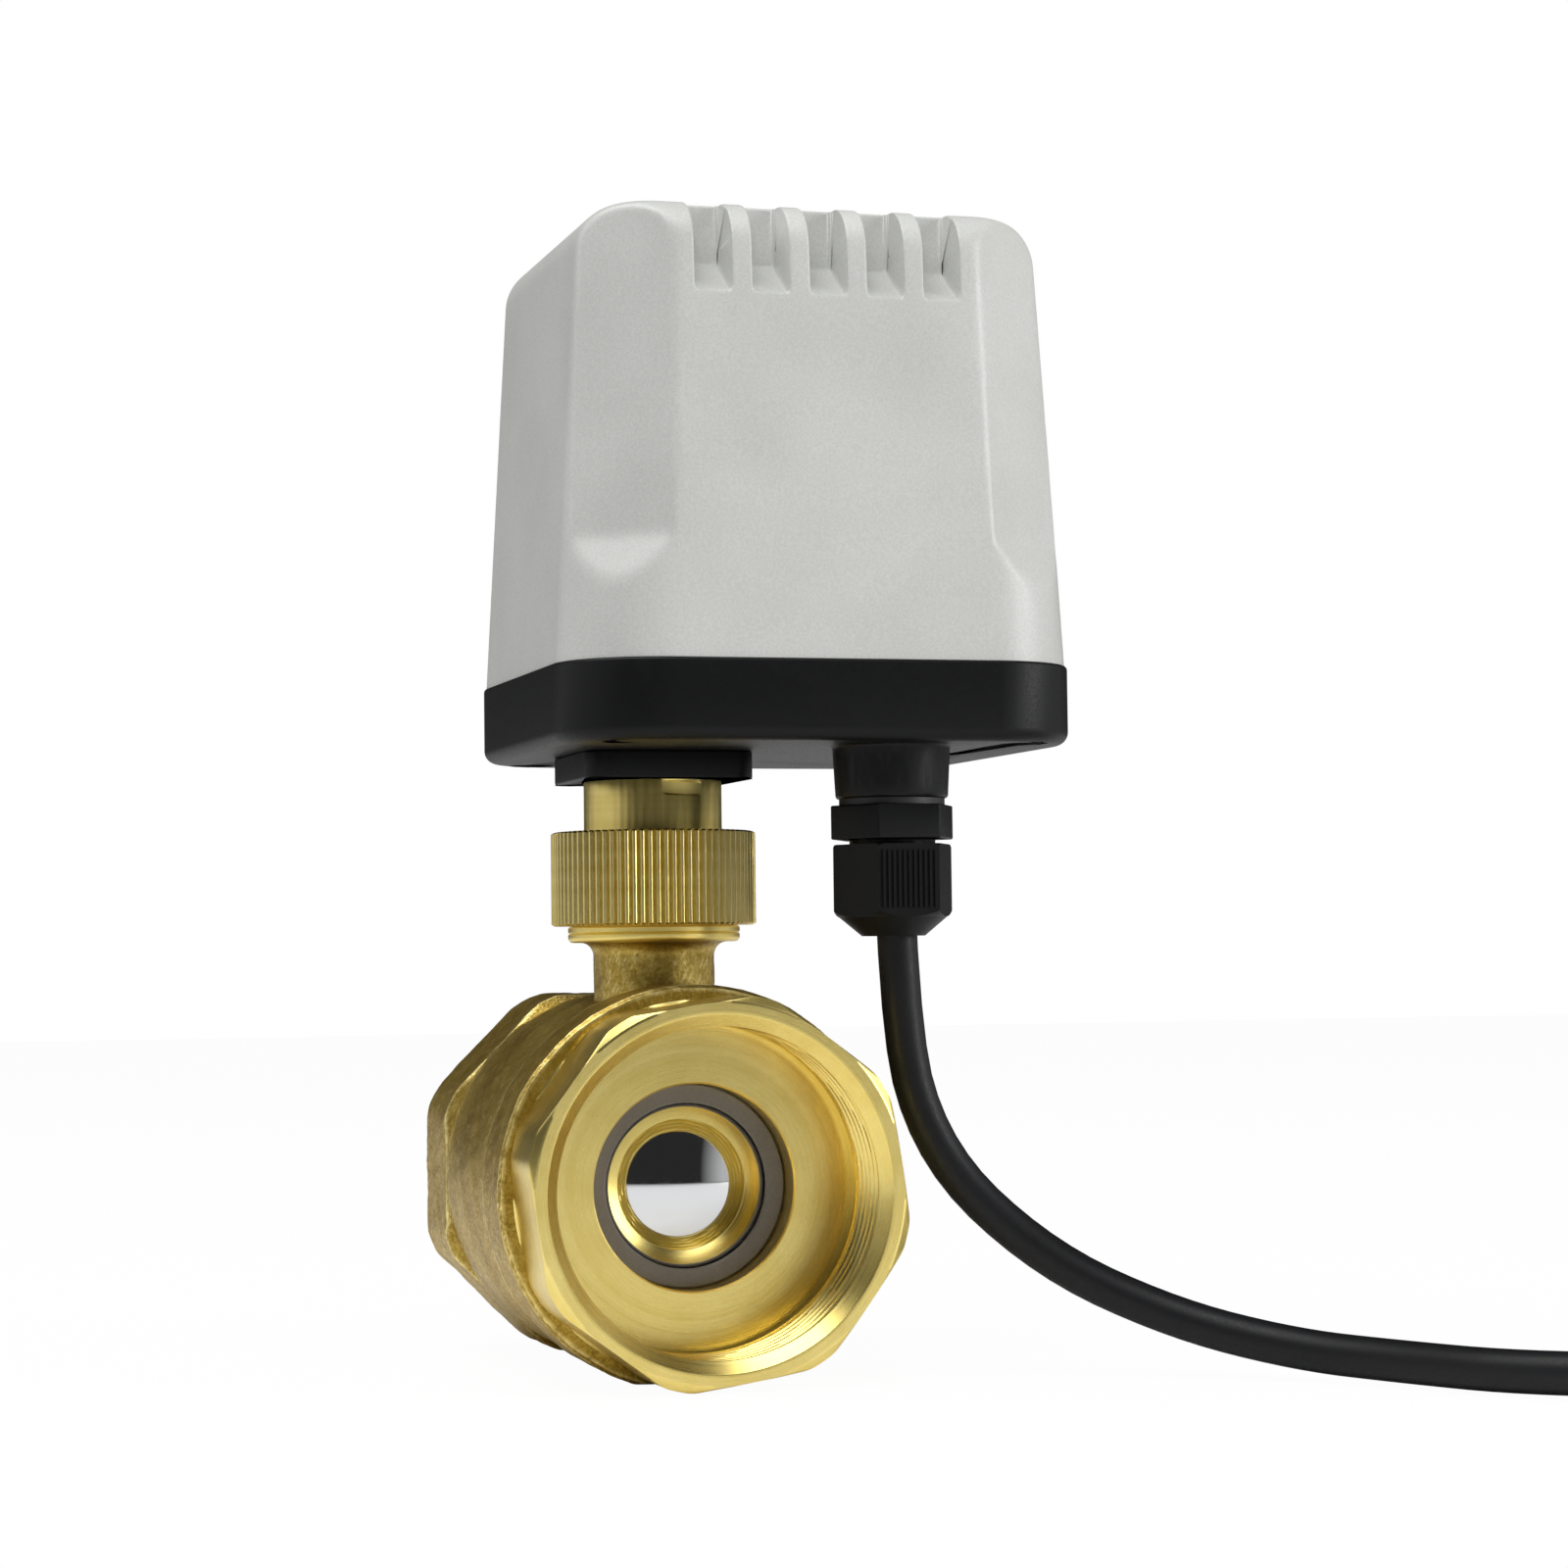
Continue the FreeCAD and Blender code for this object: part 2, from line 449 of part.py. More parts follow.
def mount_plate():
    half = "plate_side / 2"
    slab = plate("plate_slab", rounded("0 - " + half, half, "0 - " + half, half, "plate_corner"),
                 "base_low_z - plate_low_z", z="plate_low_z")
    recess = cylinder("plate_recess_hole", "sleeve_r + fit_gap", "plate_recess + 1", z="plate_low_z - 1")
    hole = cylinder("plate_hole", "sleeve_tail_r + fit_gap", 20, z="plate_low_z - 1")
    screws = [cylinder("plate_bore_%d" % i, "plate_screw_r + fit_gap", 20, x, y, "plate_low_z - 1")
              for i, (x, y) in enumerate(plate_screw_places(), 1)]
    heads = [cylinder("plate_sink_%d" % i, "plate_screw_r * 1.8 + fit_gap", "1 + plate_sink", x, y,
        "plate_low_z - 1")
             for i, (x, y) in enumerate(plate_screw_places(), 1)]
    cut("mount_plate", slab, recess, hole, *(screws + heads))
    bodies = []
    for i, (x, y) in enumerate(plate_screw_places(), 1):
        bodies.append(turned("plate_screw_%d" % i, [
            (0, "plate_low_z + 0.2"), ("plate_screw_r * 1.8", "plate_low_z + 0.2"),
            ("plate_screw_r * 1.8", "plate_low_z + plate_sink - 0.02"),
            ("plate_screw_r", "plate_low_z + plate_sink - 0.02"),
            ("plate_screw_r", "base_low_z + base_floor + 0.8"), (0, "base_low_z + base_floor + 0.8")], x=x,
            y=y))
    group("plate_screws", *bodies)


def base():
    shell = plate("base_block", base_outline("0"), "joint_z - base_low_z", z="base_low_z")
    round_level(shell, "base_edge", 0)
    hollow = plate("base_hollow", base_outline("base_wall"), 40, z="base_low_z + base_floor")
    groove_out = plate("groove_outer", base_outline("gasket_in"), 4, z="joint_z - gasket_deep")
    groove_in = plate("groove_inner", base_outline("(gasket_in + gasket_wide)"), 6,
        z="joint_z - gasket_deep - 1")
    posts = [cylinder("base_post_%d" % i, "post_r", "joint_z - base_low_z - 2", x, y, "base_low_z + 1")
             for i, (x, y) in enumerate(corner_places(), 1)]
    boss = add("Part::Cone", "gland_boss")
    bind(boss, Radius1="boss_low_r", Radius2="boss_top_r", Height="base_low_z - boss_low_z + 1",
        x="gland_x",
         y="0 - gland_y", z="boss_low_z")
    tray = fuse("base_tray", cut("base_shell", shell, hollow, cut("gasket_groove", groove_out, groove_in)),
        boss,
                *posts)
    drills = [cylinder("post_drill_%d" % i, "screw_r + fit_gap", 60, x, y, "base_low_z - 5")
              for i, (x, y) in enumerate(corner_places(), 1)]
    sinks = [cylinder("post_sink_%d" % i, "screw_recess_r", "screw_recess_deep + 5", x, y, "base_low_z - 5")
             for i, (x, y) in enumerate(corner_places(), 1)]
    plate_holes = [cylinder("base_plate_hole_%d" % i, "plate_screw_r + fit_gap", 20, x, y, "base_low_z - 5")
                   for i, (x, y) in enumerate(plate_screw_places(), 1)]
    bush_hole = cylinder("bush_hole", "bush_r + fit_gap", 20, z="base_low_z - 5")
    gland_hole = cylinder("gland_hole", "gland_thread_r + fit_gap", 40, "gland_x", "0 - gland_y",
        "boss_low_z - 5")
    cut("base", tray, bush_hole, gland_hole, *(drills + sinks + plate_holes))
    cut("base_gasket", plate("gasket_outer", base_outline("(gasket_in + 0.05)"), "gasket_deep - 0.05",
                             z="joint_z - gasket_deep + 0.02"),
        plate("gasket_inner", base_outline("(gasket_in + gasket_wide - 0.05)"), 6,
            z="joint_z - gasket_deep - 1"))


# Cover: a drafted box with round-bottomed corner channels and five vent slots
def cover_outline(inset):
    return rounded("cover_inset + %s - base_left_x" % inset, "base_right_x - cover_inset - %s" % inset,
                   "cover_inset + %s - base_half_y" % inset, "base_half_y - cover_inset - %s" % inset,
                   "base_corner - cover_inset - %s" % inset)


def corner_sides():
    return [(-1, -1), (1, -1), (-1, 1), (1, 1)]


def channel(name, sides, spare):
    # flat-backed channel down one rounded corner, as steep as the wall and closed below by a sloping shelf
    across, ahead = sides
    face = "(base_corner - cover_inset - channel_deep - %s)" % spare
    foot = "(%s - (shelf_back_z - joint_z) * tan(cover_draft))" % face
    top = "(%s - (cover_top_z + 10 - joint_z) * tan(cover_draft))" % face
    tool = add("PartDesign::Body", name)
    pad = tool.newObject("PartDesign::Pad", "width")
    pad.Profile = outline(tool, "XZ_Plane", [
        (foot, "shelf_back_z"), (foot + " + shelf_run", "shelf_back_z - shelf_run * tan(shelf_slope)"),
        (foot + " + shelf_run + 30", "shelf_back_z - shelf_run * tan(shelf_slope)"),
        (foot + " + shelf_run + 30", "cover_top_z + 10"), (top, "cover_top_z + 10")])
    bind(pad, Length="channel_wide + 2 * " + spare)
    pad.SideType = "Symmetric"
    bind(tool, x="base_right_x - base_corner" if across > 0 else "base_corner - base_left_x",
         y="%d * (base_half_y - base_corner)" % ahead)
    facing = math.radians(num("channel_turn"))
    turn = math.degrees(math.atan2(ahead * math.sin(facing), across * math.cos(facing)))
    tool.Placement.Rotation = Rotation(Vector(0, 0, 1), turn)
    return tool


def cover():
    outer = plate("cover_block", cover_outline("0"), "cover_top_z - joint_z", z="joint_z",
        draft="cover_draft")
    round_level(outer, "cover_edge", "cover_top_z - joint_z")
    inner = plate("cover_hollow_block", cover_outline("cover_wall"),
        "cover_top_z - joint_z - cover_wall + 2",
                  z="joint_z - 2", draft="cover_draft")
    round_level(inner, "cover_edge - cover_wall", "cover_top_z - joint_z - cover_wall + 2")
    channels = [channel("channel_%d" % i, sides, "0") for i, sides in enumerate(corner_sides(), 1)]
    backs = [channel("channel_back_%d" % i, sides, "cover_wall") for i,
        sides in enumerate(corner_sides(), 1)]
    face_y = "(cover_inset - base_half_y + (cover_top_z - joint_z) * tan(cover_draft))"
    slots = []
    for number in range(int(num("slot_count"))):
        middle = "slot_mid_x + slot_pitch * (%d - (slot_count - 1) / 2)" % number
        slot = add("PartDesign::Body", "vent_slot_%d" % (number + 1))
        pad = slot.newObject("PartDesign::Pad", "width")
        pad.Profile = outline(slot, "YZ_Plane", [
            (face_y + " - 9", "slot_low_z"), (face_y, "slot_low_z"),
            (face_y + " + slot_deep", "slot_low_z + slot_rise"),
            (face_y + " + slot_deep", "cover_top_z + 5"),
            (face_y + " - 9", "cover_top_z + 5")])
        bind(pad, Length="slot_wide")
        pad.SideType = "Symmetric" if hasattr(pad, "SideType") else 0
        bind(slot, x=middle)
        slots.append(slot)
    slot_room = block("slot_room", "slot_pitch * (slot_count - 1) + slot_wide + cover_wall * 2",
        "slot_deep * 2 + 40",
                      60, x="slot_mid_x", y=face_y + " + slot_deep + cover_wall - (slot_deep * 2 + 40) / 2",
                      z="slot_low_z - cover_wall")
    bosses = [cylinder("cover_boss_%d" % i, "post_r", "cover_boss_high", x, y, "joint_z")
              for i, (x, y) in enumerate(corner_places(), 1)]
    drills = [cylinder("cover_drill_%d" % i, "screw_r - 0.3", "cover_boss_high - 2", x, y, "joint_z - 1")
              for i, (x, y) in enumerate(corner_places(), 1)]
    hollow = cut("cover_hollow", inner, slot_room, *(backs + bosses))
    cut("cover", cut("cover_shell", outer, hollow), *(channels + slots + drills))
    screws = []
    for i, (x, y) in enumerate(corner_places(), 1):
        screws.append(turned("cover_screw_%d" % i, [
            (0, "base_low_z + 2.4"), ("screw_recess_r - 0.3", "base_low_z + 2.4"),
            ("screw_recess_r - 0.3", "base_low_z + screw_recess_deep - 0.02"),
            ("screw_r - 0.35", "base_low_z + screw_recess_deep - 0.02"),
            ("screw_r - 0.35", "joint_z + 6"), (0, "joint_z + 6")], x=x, y=y))
    group("cover_screws", *screws)


# Cable gland screwed into the boss under the base
def gland():
    at = {"x": "gland_x", "y": "0 - gland_y"}
    thread, bore = "gland_thread_r", "(cable_r + cable_clear)"
    hexagon = prism("gland_hexagon", 6, "gland_hex_flats", "gland_hex_top_z - gland_hex_low_z",
                    z="gland_hex_low_z", **at)
    upper = cylinder("gland_thread", thread, "locknut_z + locknut_high + 0.3 - gland_hex_top_z",
        z="gland_hex_top_z",
                     **at)
    lower = cylinder("gland_tail", thread, "gland_hex_low_z - seal_top_z", z="seal_top_z", **at)
    cut("gland_body", fuse("gland_turned", hexagon, upper, lower),
        cylinder("gland_bore", bore, 80, z="seal_top_z - 5",
                                                                         **at))
    turned("gland_washer", [
        (thread + " + 0.15", "gland_hex_top_z + 0.05"), ("boss_low_r - 0.6", "gland_hex_top_z + 0.05"),
        ("boss_low_r - 0.6", "boss_low_z - 0.05"), (thread + " + 0.15", "boss_low_z - 0.05")], **at)
    turned("gland_seal", [
        ("cable_r + 0.1", "dome_low_z + 2.7"), ("gland_thread_r - 1", "dome_low_z + 2.7"),
        ("gland_thread_r - 0.2", "seal_top_z - 0.1"), ("cable_r + 0.1", "seal_top_z - 0.1")], **at)
    locknut = prism("locknut_hexagon", 6, "gland_hex_flats - 1", "locknut_high", z="locknut_z", **at)
    cut("gland_locknut", locknut, cylinder("locknut_bore", thread + " + fit_gap", 20, z="locknut_z - 5",
        **at))


def gland_dome_nut():
    at = {"x": "gland_x", "y": "0 - gland_y"}
    dome_r = "(dome_flats / 2 / cos(30))"
    blank = turned("dome_turned", [
        (0, "dome_low_z"), ("dome_end_r", "dome_low_z"),
        ("dome_flats / 2", "dome_shoulder_z - 0.2", "dome_end_r"),
        (dome_r, "dome_shoulder_z + 0.9"), (dome_r, "dome_top_z - 0.5"), (dome_r + " - 0.5", "dome_top_z"),
        (0, "dome_top_z")], **at)
    hexagon = prism("dome_hexagon", 6, "dome_flats", "dome_top_z - dome_low_z + 2", z="dome_low_z - 1",
        **at)
    ribs = []
    for number in range(int(num("dome_ribs"))):
        offset = "(%d - (dome_ribs - 1) / 2) * rib_pitch" % number
        ribs.append(block("dome_rib_%d" % (number + 1), "rib_pitch / 2", "rib_high * 2",
                          "dome_top_z - dome_shoulder_z - 2.6", x="gland_x + " + offset,
                          y="0 - gland_y - dome_flats / 2", z="dome_shoulder_z + 1.4"))
    bore = turned("dome_bore", [
        (0, "dome_low_z - 1"), ("cable_r + cable_clear", "dome_low_z - 1"), ("cable_r + cable_clear",
                                                                            "dome_low_z + 1.4"),
        ("gland_thread_r - 0.6", "dome_low_z + 2.6"), ("gland_thread_r + fit_gap", "dome_low_z + 4"),
        ("gland_thread_r + fit_gap", "dome_top_z + 1"), (0, "dome_top_z + 1")], **at)
    cut("gland_dome_nut", fuse("dome_outside", common("dome_blank", blank, hexagon), *ribs), bore)


# Gear train: output gear, compound idler and motor pinion between two plates
def gear_shape(module, teeth, height, turn):
    # involute spur gear, three flank radii to a tooth, thinned by the backlash
    pressure = math.radians(20)
    pitch_r, root_r, tip_r = module * teeth / 2, module * (teeth / 2 - 1.25), module * (teeth / 2 + 0.95)
    base_r = pitch_r * math.cos(pressure)
    half_pitch = math.pi / (2 * teeth) - num("backlash") / (2 * pitch_r)

    def half_width(radius):
        slope = math.acos(base_r / radius) if radius > base_r else 0.0
        return half_pitch + math.tan(pressure) - pressure - math.tan(slope) + slope

    flank = [(radius, half_width(radius)) for radius in (root_r, pitch_r, tip_r)]
    points = []
    for tooth in range(teeth):
        middle = 2 * math.pi * tooth / teeth + math.radians(turn)
        for radius, half in [(r, -h) for r, h in flank] + [(r, h) for r, h in reversed(flank)]:
            points.append(Vector(radius * math.cos(middle + half), radius * math.sin(middle + half), 0))
    return Part.Face(Part.makePolygon(points + points[:1])).extrude(Vector(0, 0, height))


def placed_gear(name, module, teeth, height, turn, x, z):
    gear = shaped(name, gear_shape(num(module), int(num(teeth)), num(height), turn))
    return bind(gear, x=x, z=z)


idler_x = "(gear_module * (output_teeth + pinion_teeth) / 2)"
motor_x = "(%s + wheel_module * (wheel_teeth + pinion_teeth) / 2)" % idler_x


def output_train():
    socket = turned("socket_turned", [
        (0, "square_z + 0.3"), ("sleeve_bore_r - 0.6", "square_z + 0.3"),
        ("sleeve_bore_r - 0.6", "base_low_z - 2"),
        ("shaft_r", "base_low_z - 1"), ("shaft_r", "shaft_top_z - 0.6"), ("shaft_r - 0.6", "shaft_top_z"),
        (0, "shaft_top_z")])
    square = block("socket_square", "square_flats + 0.3", "square_flats + 0.3", "square_long + 1.5",
        z="square_z - 0.5")
    cut("output_shaft", socket, square)
    bore = {"radius": "shaft_r + 0.05", "height": 60, "z": "gear_low_z - 20"}
    wheel = placed_gear("output_teeth_shape", "gear_module", "output_teeth", "gear_high", 0, 0,
        "gear_low_z")
    hub = cylinder("output_hub", "shaft_r + 3", "wheel_z - gear_low_z - 0.5", z="gear_low_z")
    holes = [cylinder("output_gear_hole_%d" % i, "hole_ring_r / 4", "gear_high * 6",
        "hole_ring_r * cos(%d)" % (i * 60),
                      "hole_ring_r * sin(%d)" % (i * 60),
                      "gear_low_z - 5") for i in range(6)]
    cut("output_gear", fuse("output_blank", wheel, hub), cylinder("output_bore", **bore), *holes)
    disc = cylinder("cam_disc", "cam_r", "cam_high", z="cam_z")
    lobes = []
    for i, angle in enumerate((90, 180), 1):
        lobe = cylinder("cam_lobe_%d" % i, 2.5, "cam_high", "(cam_lobe_r - 2.5) * cos(%d)" % angle,
                        "(cam_lobe_r - 2.5) * sin(%d)" % angle, "cam_z")
        lobes.append(lobe)
    collar = cylinder("cam_hub", "shaft_r + 2.2", "cam_high + 2.5", z="cam_z")
    cut("switch_cam", fuse("cam_blank", disc, collar, *lobes), cylinder("cam_bore", "shaft_r + 0.05", 60,
                                                                     z="cam_z - 20"))
    turned("shaft_bush", [
        ("shaft_r + 0.3", "base_low_z + 0.1"), ("bush_r", "base_low_z + 0.1"),
        ("bush_r", "base_low_z + base_floor + 0.05"), ("bush_r + 2", "base_low_z + base_floor + 0.05"),
        ("bush_r + 2", "lower_plate_z - 0.3"), ("shaft_r + 0.3", "lower_plate_z - 0.3")])


def idler_and_pinion():
    doc.recompute()
    teeth, mate = num("output_teeth"), num("pinion_teeth")
    pinion = placed_gear("idler_pinion_shape", "gear_module", "pinion_teeth", "wheel_z - gear_low_z + 0.4",
                         180 + 180 / mate, idler_x, "gear_low_z - 0.4")
    wheel = placed_gear("idler_wheel_shape", "wheel_module", "wheel_teeth", "wheel_high", 0, idler_x,
        "wheel_z")
    hub = cylinder("idler_hub", "pin_r + 2.4", "upper_plate_z - gear_low_z - 0.6", idler_x, 0,
        "gear_low_z + 0.3")
    bore = cylinder("idler_bore", "pin_r + 0.3", 60, idler_x, 0, "gear_low_z - 20")
    cut("idler_gear", fuse("idler_blank", pinion, wheel, hub), bore)
    cylinder("idler_pin", "pin_r", "upper_plate_z + plate_thick - lower_plate_z", idler_x, 0,
        "lower_plate_z")
    drive = placed_gear("motor_pinion_shape", "wheel_module", "pinion_teeth", "wheel_high + 1.2",
                        180 + 180 / mate, motor_x, "wheel_z - 0.6")
    shaft = cylinder("motor_shaft", "pin_r", "motor_low_z - wheel_z", motor_x, 0, "wheel_z")
    fuse("motor_pinion", drive, shaft)


def pillar_places():
    return [(x, y) for x in ("pillar_left_x", "pillar_right_x") for y in ("0 - pillar_y", "pillar_y")]


def gear_plates():
    sides = ("0 - gear_plate_left", "gear_plate_right", "0 - gear_plate_y", "gear_plate_y", "5")
    drills = {}
    for level in ("lower_plate_z", "upper_plate_z"):
        drills[level] = [cylinder("%s_hole_%d" % (level[:5], i), "pin_r - 0.2 + fit_gap", 12, x, y,
            level + " - 5")
                         for i, (x, y) in enumerate(pillar_places(), 1)]
        drills[level].append(cylinder(level[:5] + "_pin_hole", "pin_r + 0.05", 12, idler_x, 0,
            level + " - 5"))
        drills[level].append(cylinder(level[:5] + "_shaft_hole", "shaft_r + 0.4", 12, 0, 0, level + " - 5"))
    lead_notch = cylinder("lead_notch", "gland_thread_r + 5.6", 12, "gland_x", "0 - gland_y",
        "lower_plate_z - 5")
    cut("gear_plate_lower", plate("lower_plate", rounded(*sides), "plate_thick", z="lower_plate_z"),
        lead_notch,
        *drills["lower_plate_z"])
    ears = block("ear_tab", 12, "(motor_ear_y + 3.6) * 2", "plate_thick", x="motor_can_x",
        z="upper_plate_z")
    motor_hole = cylinder("motor_shaft_hole", "pin_r + 1.5", 12, motor_x, 0, "upper_plate_z - 5")
    taps = [cylinder("ear_tap_%d" % i, 1.55, 12, "motor_can_x", y, "upper_plate_z - 5")
            for i, y in enumerate(("0 - motor_ear_y", "motor_ear_y"), 1)]
    cut("gear_plate_upper", fuse("upper_blank", plate("upper_plate", rounded(*sides), "plate_thick",
                                                      z="upper_plate_z"), ears),
        motor_hole, *(taps + drills["upper_plate_z"]))
    pillars, nuts = [], []
    foot, top = "base_low_z + base_floor", "upper_plate_z"
    for i, (x, y) in enumerate(pillar_places(), 1):
        tail = "(pin_r - 0.2)"
        pillars.append(turned("pillar_%d" % i, [
            (0, foot + " + 0.02"), ("pillar_r", foot + " + 0.02"), ("pillar_r", "lower_plate_z - 0.02"),
            (tail, "lower_plate_z - 0.02"), (tail, "lower_plate_z + plate_thick + 0.02"),
            ("pillar_r", "lower_plate_z + plate_thick + 0.02"), ("pillar_r", top + " - 0.02"),
            (tail, top + " - 0.02"),
            (tail, top + " + plate_thick + 2.6"), (0, top + " + plate_thick + 2.6")], x=x, y=y))
        nut = prism("pillar_nut_%d_hexagon" % i, 6, "pillar_r * 2 - 1", 2.2, x, y,
            top + " + plate_thick + 0.02")
        nuts.append(cut("pillar_nut_%d" % i, nut,
            cylinder("pillar_nut_bore_%d" % i, tail + " + 0.05", 20, x, y,
                                                           top)))
    group("gear_pillars", *pillars)
    group("pillar_nuts", *nuts)


# Synchronous gearmotor on the upper plate
def gearmotor():
    can = turned("motor_can", [
        (0, "motor_low_z"), ("motor_r", "motor_low_z"), ("motor_r", "motor_low_z + motor_high - 1.5"),
        ("motor_r - 1.5", "motor_low_z + motor_high"), (0, "motor_low_z + motor_high")], x="motor_can_x")
    ears = block("motor_ears", 8, "(motor_ear_y + 3.4) * 2", 1.2, x="motor_can_x", z="motor_low_z")
    holes = [cylinder("motor_ear_hole_%d" % i, 1.6, 12, "motor_can_x", y, "motor_low_z - 5")
             for i, y in enumerate(("0 - motor_ear_y", "motor_ear_y"), 1)]
    pocket = cylinder("motor_shaft_pocket", "pin_r + 0.3", "4.3", motor_x, 0, "motor_low_z - 4")
    cut("motor", fuse("motor_blank", can, ears), pocket, *holes)
    screws = []
    for i, y in enumerate(("0 - motor_ear_y", "motor_ear_y"), 1):
        screws.append(turned("motor_screw_%d" % i, [
            (0, "upper_plate_z"), (1.5, "upper_plate_z"), (1.5, "motor_low_z + 1.25"),
            (2.7, "motor_low_z + 1.25"),
            (2.7, "motor_low_z + 2.6"), (2.1, "motor_low_z + 3.1"), (0, "motor_low_z + 3.1")],
            x="motor_can_x", y=y))
    group("motor_screws", *screws)


# Two limit switches, one each side of the cam, with sprung levers and plungers
def limit_switch(word, side):
    low, thick = "switch_z", "switch_thick"
    middle_y = "%d * (switch_y + switch_deep / 2)" % side
    pivot_y = "%d * (switch_y - 1.4)" % side
    case = block(word + "_case", "switch_long", "switch_deep", thick, y=middle_y, z=low)
    ears = [block("%s_ear_%d" % (word, i), 1.6, 3, 1.1, "lever_pivot_x", "%d * (switch_y - 0.9)" % side, z)
            for i, z in enumerate((low, low + " + switch_thick - 1.1"), 1)]
    pin = cylinder(word + "_pin", 0.5, "switch_thick - 0.4", "lever_pivot_x", pivot_y, low + " + 0.2")
    bore = cylinder(word + "_plunger_bore", 1.1, 6, "plunger_x",
        "%d * (switch_y - 1) %s" % (side, "" if side > 0 else
                    "- 6"), low + " + switch_thick / 2", along="y")
    holes = [cylinder("%s_hole_%d" % (word, i), 1.35, 20, x, "%d * (switch_y + switch_deep - 2.6)" % side,
                      low + " - 5") for i, x in enumerate(("0 - switch_hole_pitch / 2",
                          "switch_hole_pitch / 2"), 1)]
    cut(word + "_body", fuse(word + "_solid", case, pin, *ears), bore, *holes)
    lever_y = "%d * (cam_lobe_r + 0.35 + 0.3)" % side
    strip = block(word + "_strip", "lever_pivot_x + switch_long / 2 - 1", 0.6, "switch_thick - 3.2",
                  "(lever_pivot_x - switch_long / 2 + 2) / 2", lever_y, low + " + 1.6")
    leg = block(word + "_leg", 0.8, "switch_y - 1.4 - cam_lobe_r - 0.35", "switch_thick - 3.2",
        "lever_pivot_x",
                "%d * (switch_y - 1.4 + cam_lobe_r + 0.35) / 2" % side, low + " + 1.6")
    knuckle = cylinder(word + "_knuckle", 1.05, "switch_thick - 3.2", "lever_pivot_x", pivot_y,
        low + " + 1.6")
    eye = cylinder(word + "_eye", 0.7, 20, "lever_pivot_x", pivot_y, low + " - 5")
    cut(word + "_lever", fuse(word + "_lever_blank", strip, leg, knuckle), eye)
    tip = "(cam_lobe_r + 0.35 + 0.6 + 0.15)"
    cylinder(word + "_plunger", 0.85, "switch_y + 1.6 - " + tip, "plunger_x",
             tip if side > 0 else "0 - switch_y - 1.6", low + " + switch_thick / 2", along="y")
    return [turned("%s_screw_%d" % (word, i), [
        (0, "upper_plate_z + plate_thick + 0.02"), (1.2, "upper_plate_z + plate_thick + 0.02"),
        (1.2, low + " + switch_thick + 0.05"), (1.8, low + " + switch_thick + 0.05"),
        (1.8, low + " + switch_thick + 1.4"), (0, low + " + switch_thick + 1.4")], x=x,
        y="%d * (switch_y + switch_deep - 2.6)" % side)
        for i, x in enumerate(("0 - switch_hole_pitch / 2", "switch_hole_pitch / 2"), 1)]


# Circuit board on tall posts, with its terminal block, relay and capacitor
def circuit_board():
    places = [(x, y) for x in ("board_post_left", "board_post_right") for y in ("0 - board_post_y",
        "board_post_y")]
    slab = plate("board_slab", rounded("board_post_left - 3", "board_post_right + 2.4",
        "0 - board_post_y - 3",
                                       "board_post_y + 3", "2"), "board_thick", z="board_z")
    holes = [cylinder("board_hole_%d" % i, 1.4, 12, x, y, "board_z - 5") for i,
        (x, y) in enumerate(places, 1)]
    cut("circuit_board", slab, *holes)
    low = "upper_plate_z + plate_thick"
    posts = [turned("board_post_%d" % i, [
        (0, low + " + 0.02"), (2.4, low + " + 0.02"), (2.4, "board_z - 0.02"), (1.2, "board_z - 0.02"),
        (1.2, "board_z + board_thick + 0.05"), (2.2, "board_z + board_thick + 0.05"),
        (2.2, "board_z + board_thick + 1.5"), (0, "board_z + board_thick + 1.5")], x=x, y=y)
        for i, (x, y) in enumerate(places, 1)]
    group("board_posts", *posts)
    top = "board_z + board_thick + 0.02"
    blank = block("terminal_solid", "core_pitch * 3 + 2", 11, 12, "gland_x", "0 - terminal_y", top)
    wells, screws = [], []
    for i in range(3):
        x = "gland_x + core_pitch * %d" % (i - 1)
        wells.append(cylinder("terminal_well_%d" % (i + 1), 2, 9, x, "0 - terminal_y", top + " + 4.2"))
        wells.append(cylinder("terminal_entry_%d" % (i + 1), 1.6, 8, x, "0 - terminal_y - 7",
            top + " + 3.4",
                              along="y"))
        screws.append(turned("terminal_screw_%d" % (i + 1), [
            (0, top + " + 5.05"), (1.7, top + " + 5.05"), (1.7, top + " + 8.5"), (0, top + " + 8.5")], x=x,
            y="0 - terminal_y"))
    cut("terminal_block", blank, *wells)
    group("terminal_screws", *screws)
    block("relay", "relay_long", "relay_side", "relay_side", "0.2 * relay_long", "0.4 * relay_side", top)
    turned("capacitor", [
        (0, 0), ("capacitor_r - 0.3", 0), ("capacitor_r", 0.6), ("capacitor_r", "capacitor_high - 1"),
        ("capacitor_r - 0.8", "capacitor_high"), (0, "capacitor_high")], x="capacitor_x", y="capacitor_y",
        z=top)


# The cable: inner cores, the sheath through the gland, its fall to the table and the put-away coil
def rounded_path(points, share=0.45):
    # straight runs joined by tangent arcs, each as large as its two runs allow
    edges, here, radii = [], points[0], []
    for before, corner, after in zip(points, points[1:], points[2:]):
        into, out = (corner - before), (after - corner)
        turn = into.getAngle(out)
        reach = share * min(into.Length, out.Length)
        radii.append(reach / math.tan(turn / 2))
        into, out = into.normalize(), out.normalize()
        first, last = corner - into * reach, corner + out * reach
        to_centre = (out - into).normalize() * (radii[-1] / math.cos(turn / 2))
        middle = corner + to_centre - to_centre.normalize() * radii[-1]
        edges += [Part.LineSegment(here, first).toShape(), Part.Arc(first, middle, last).toShape()]
        here = last
    edges.append(Part.LineSegment(here, points[-1]).toShape())
    return Part.Wire(edges), radii


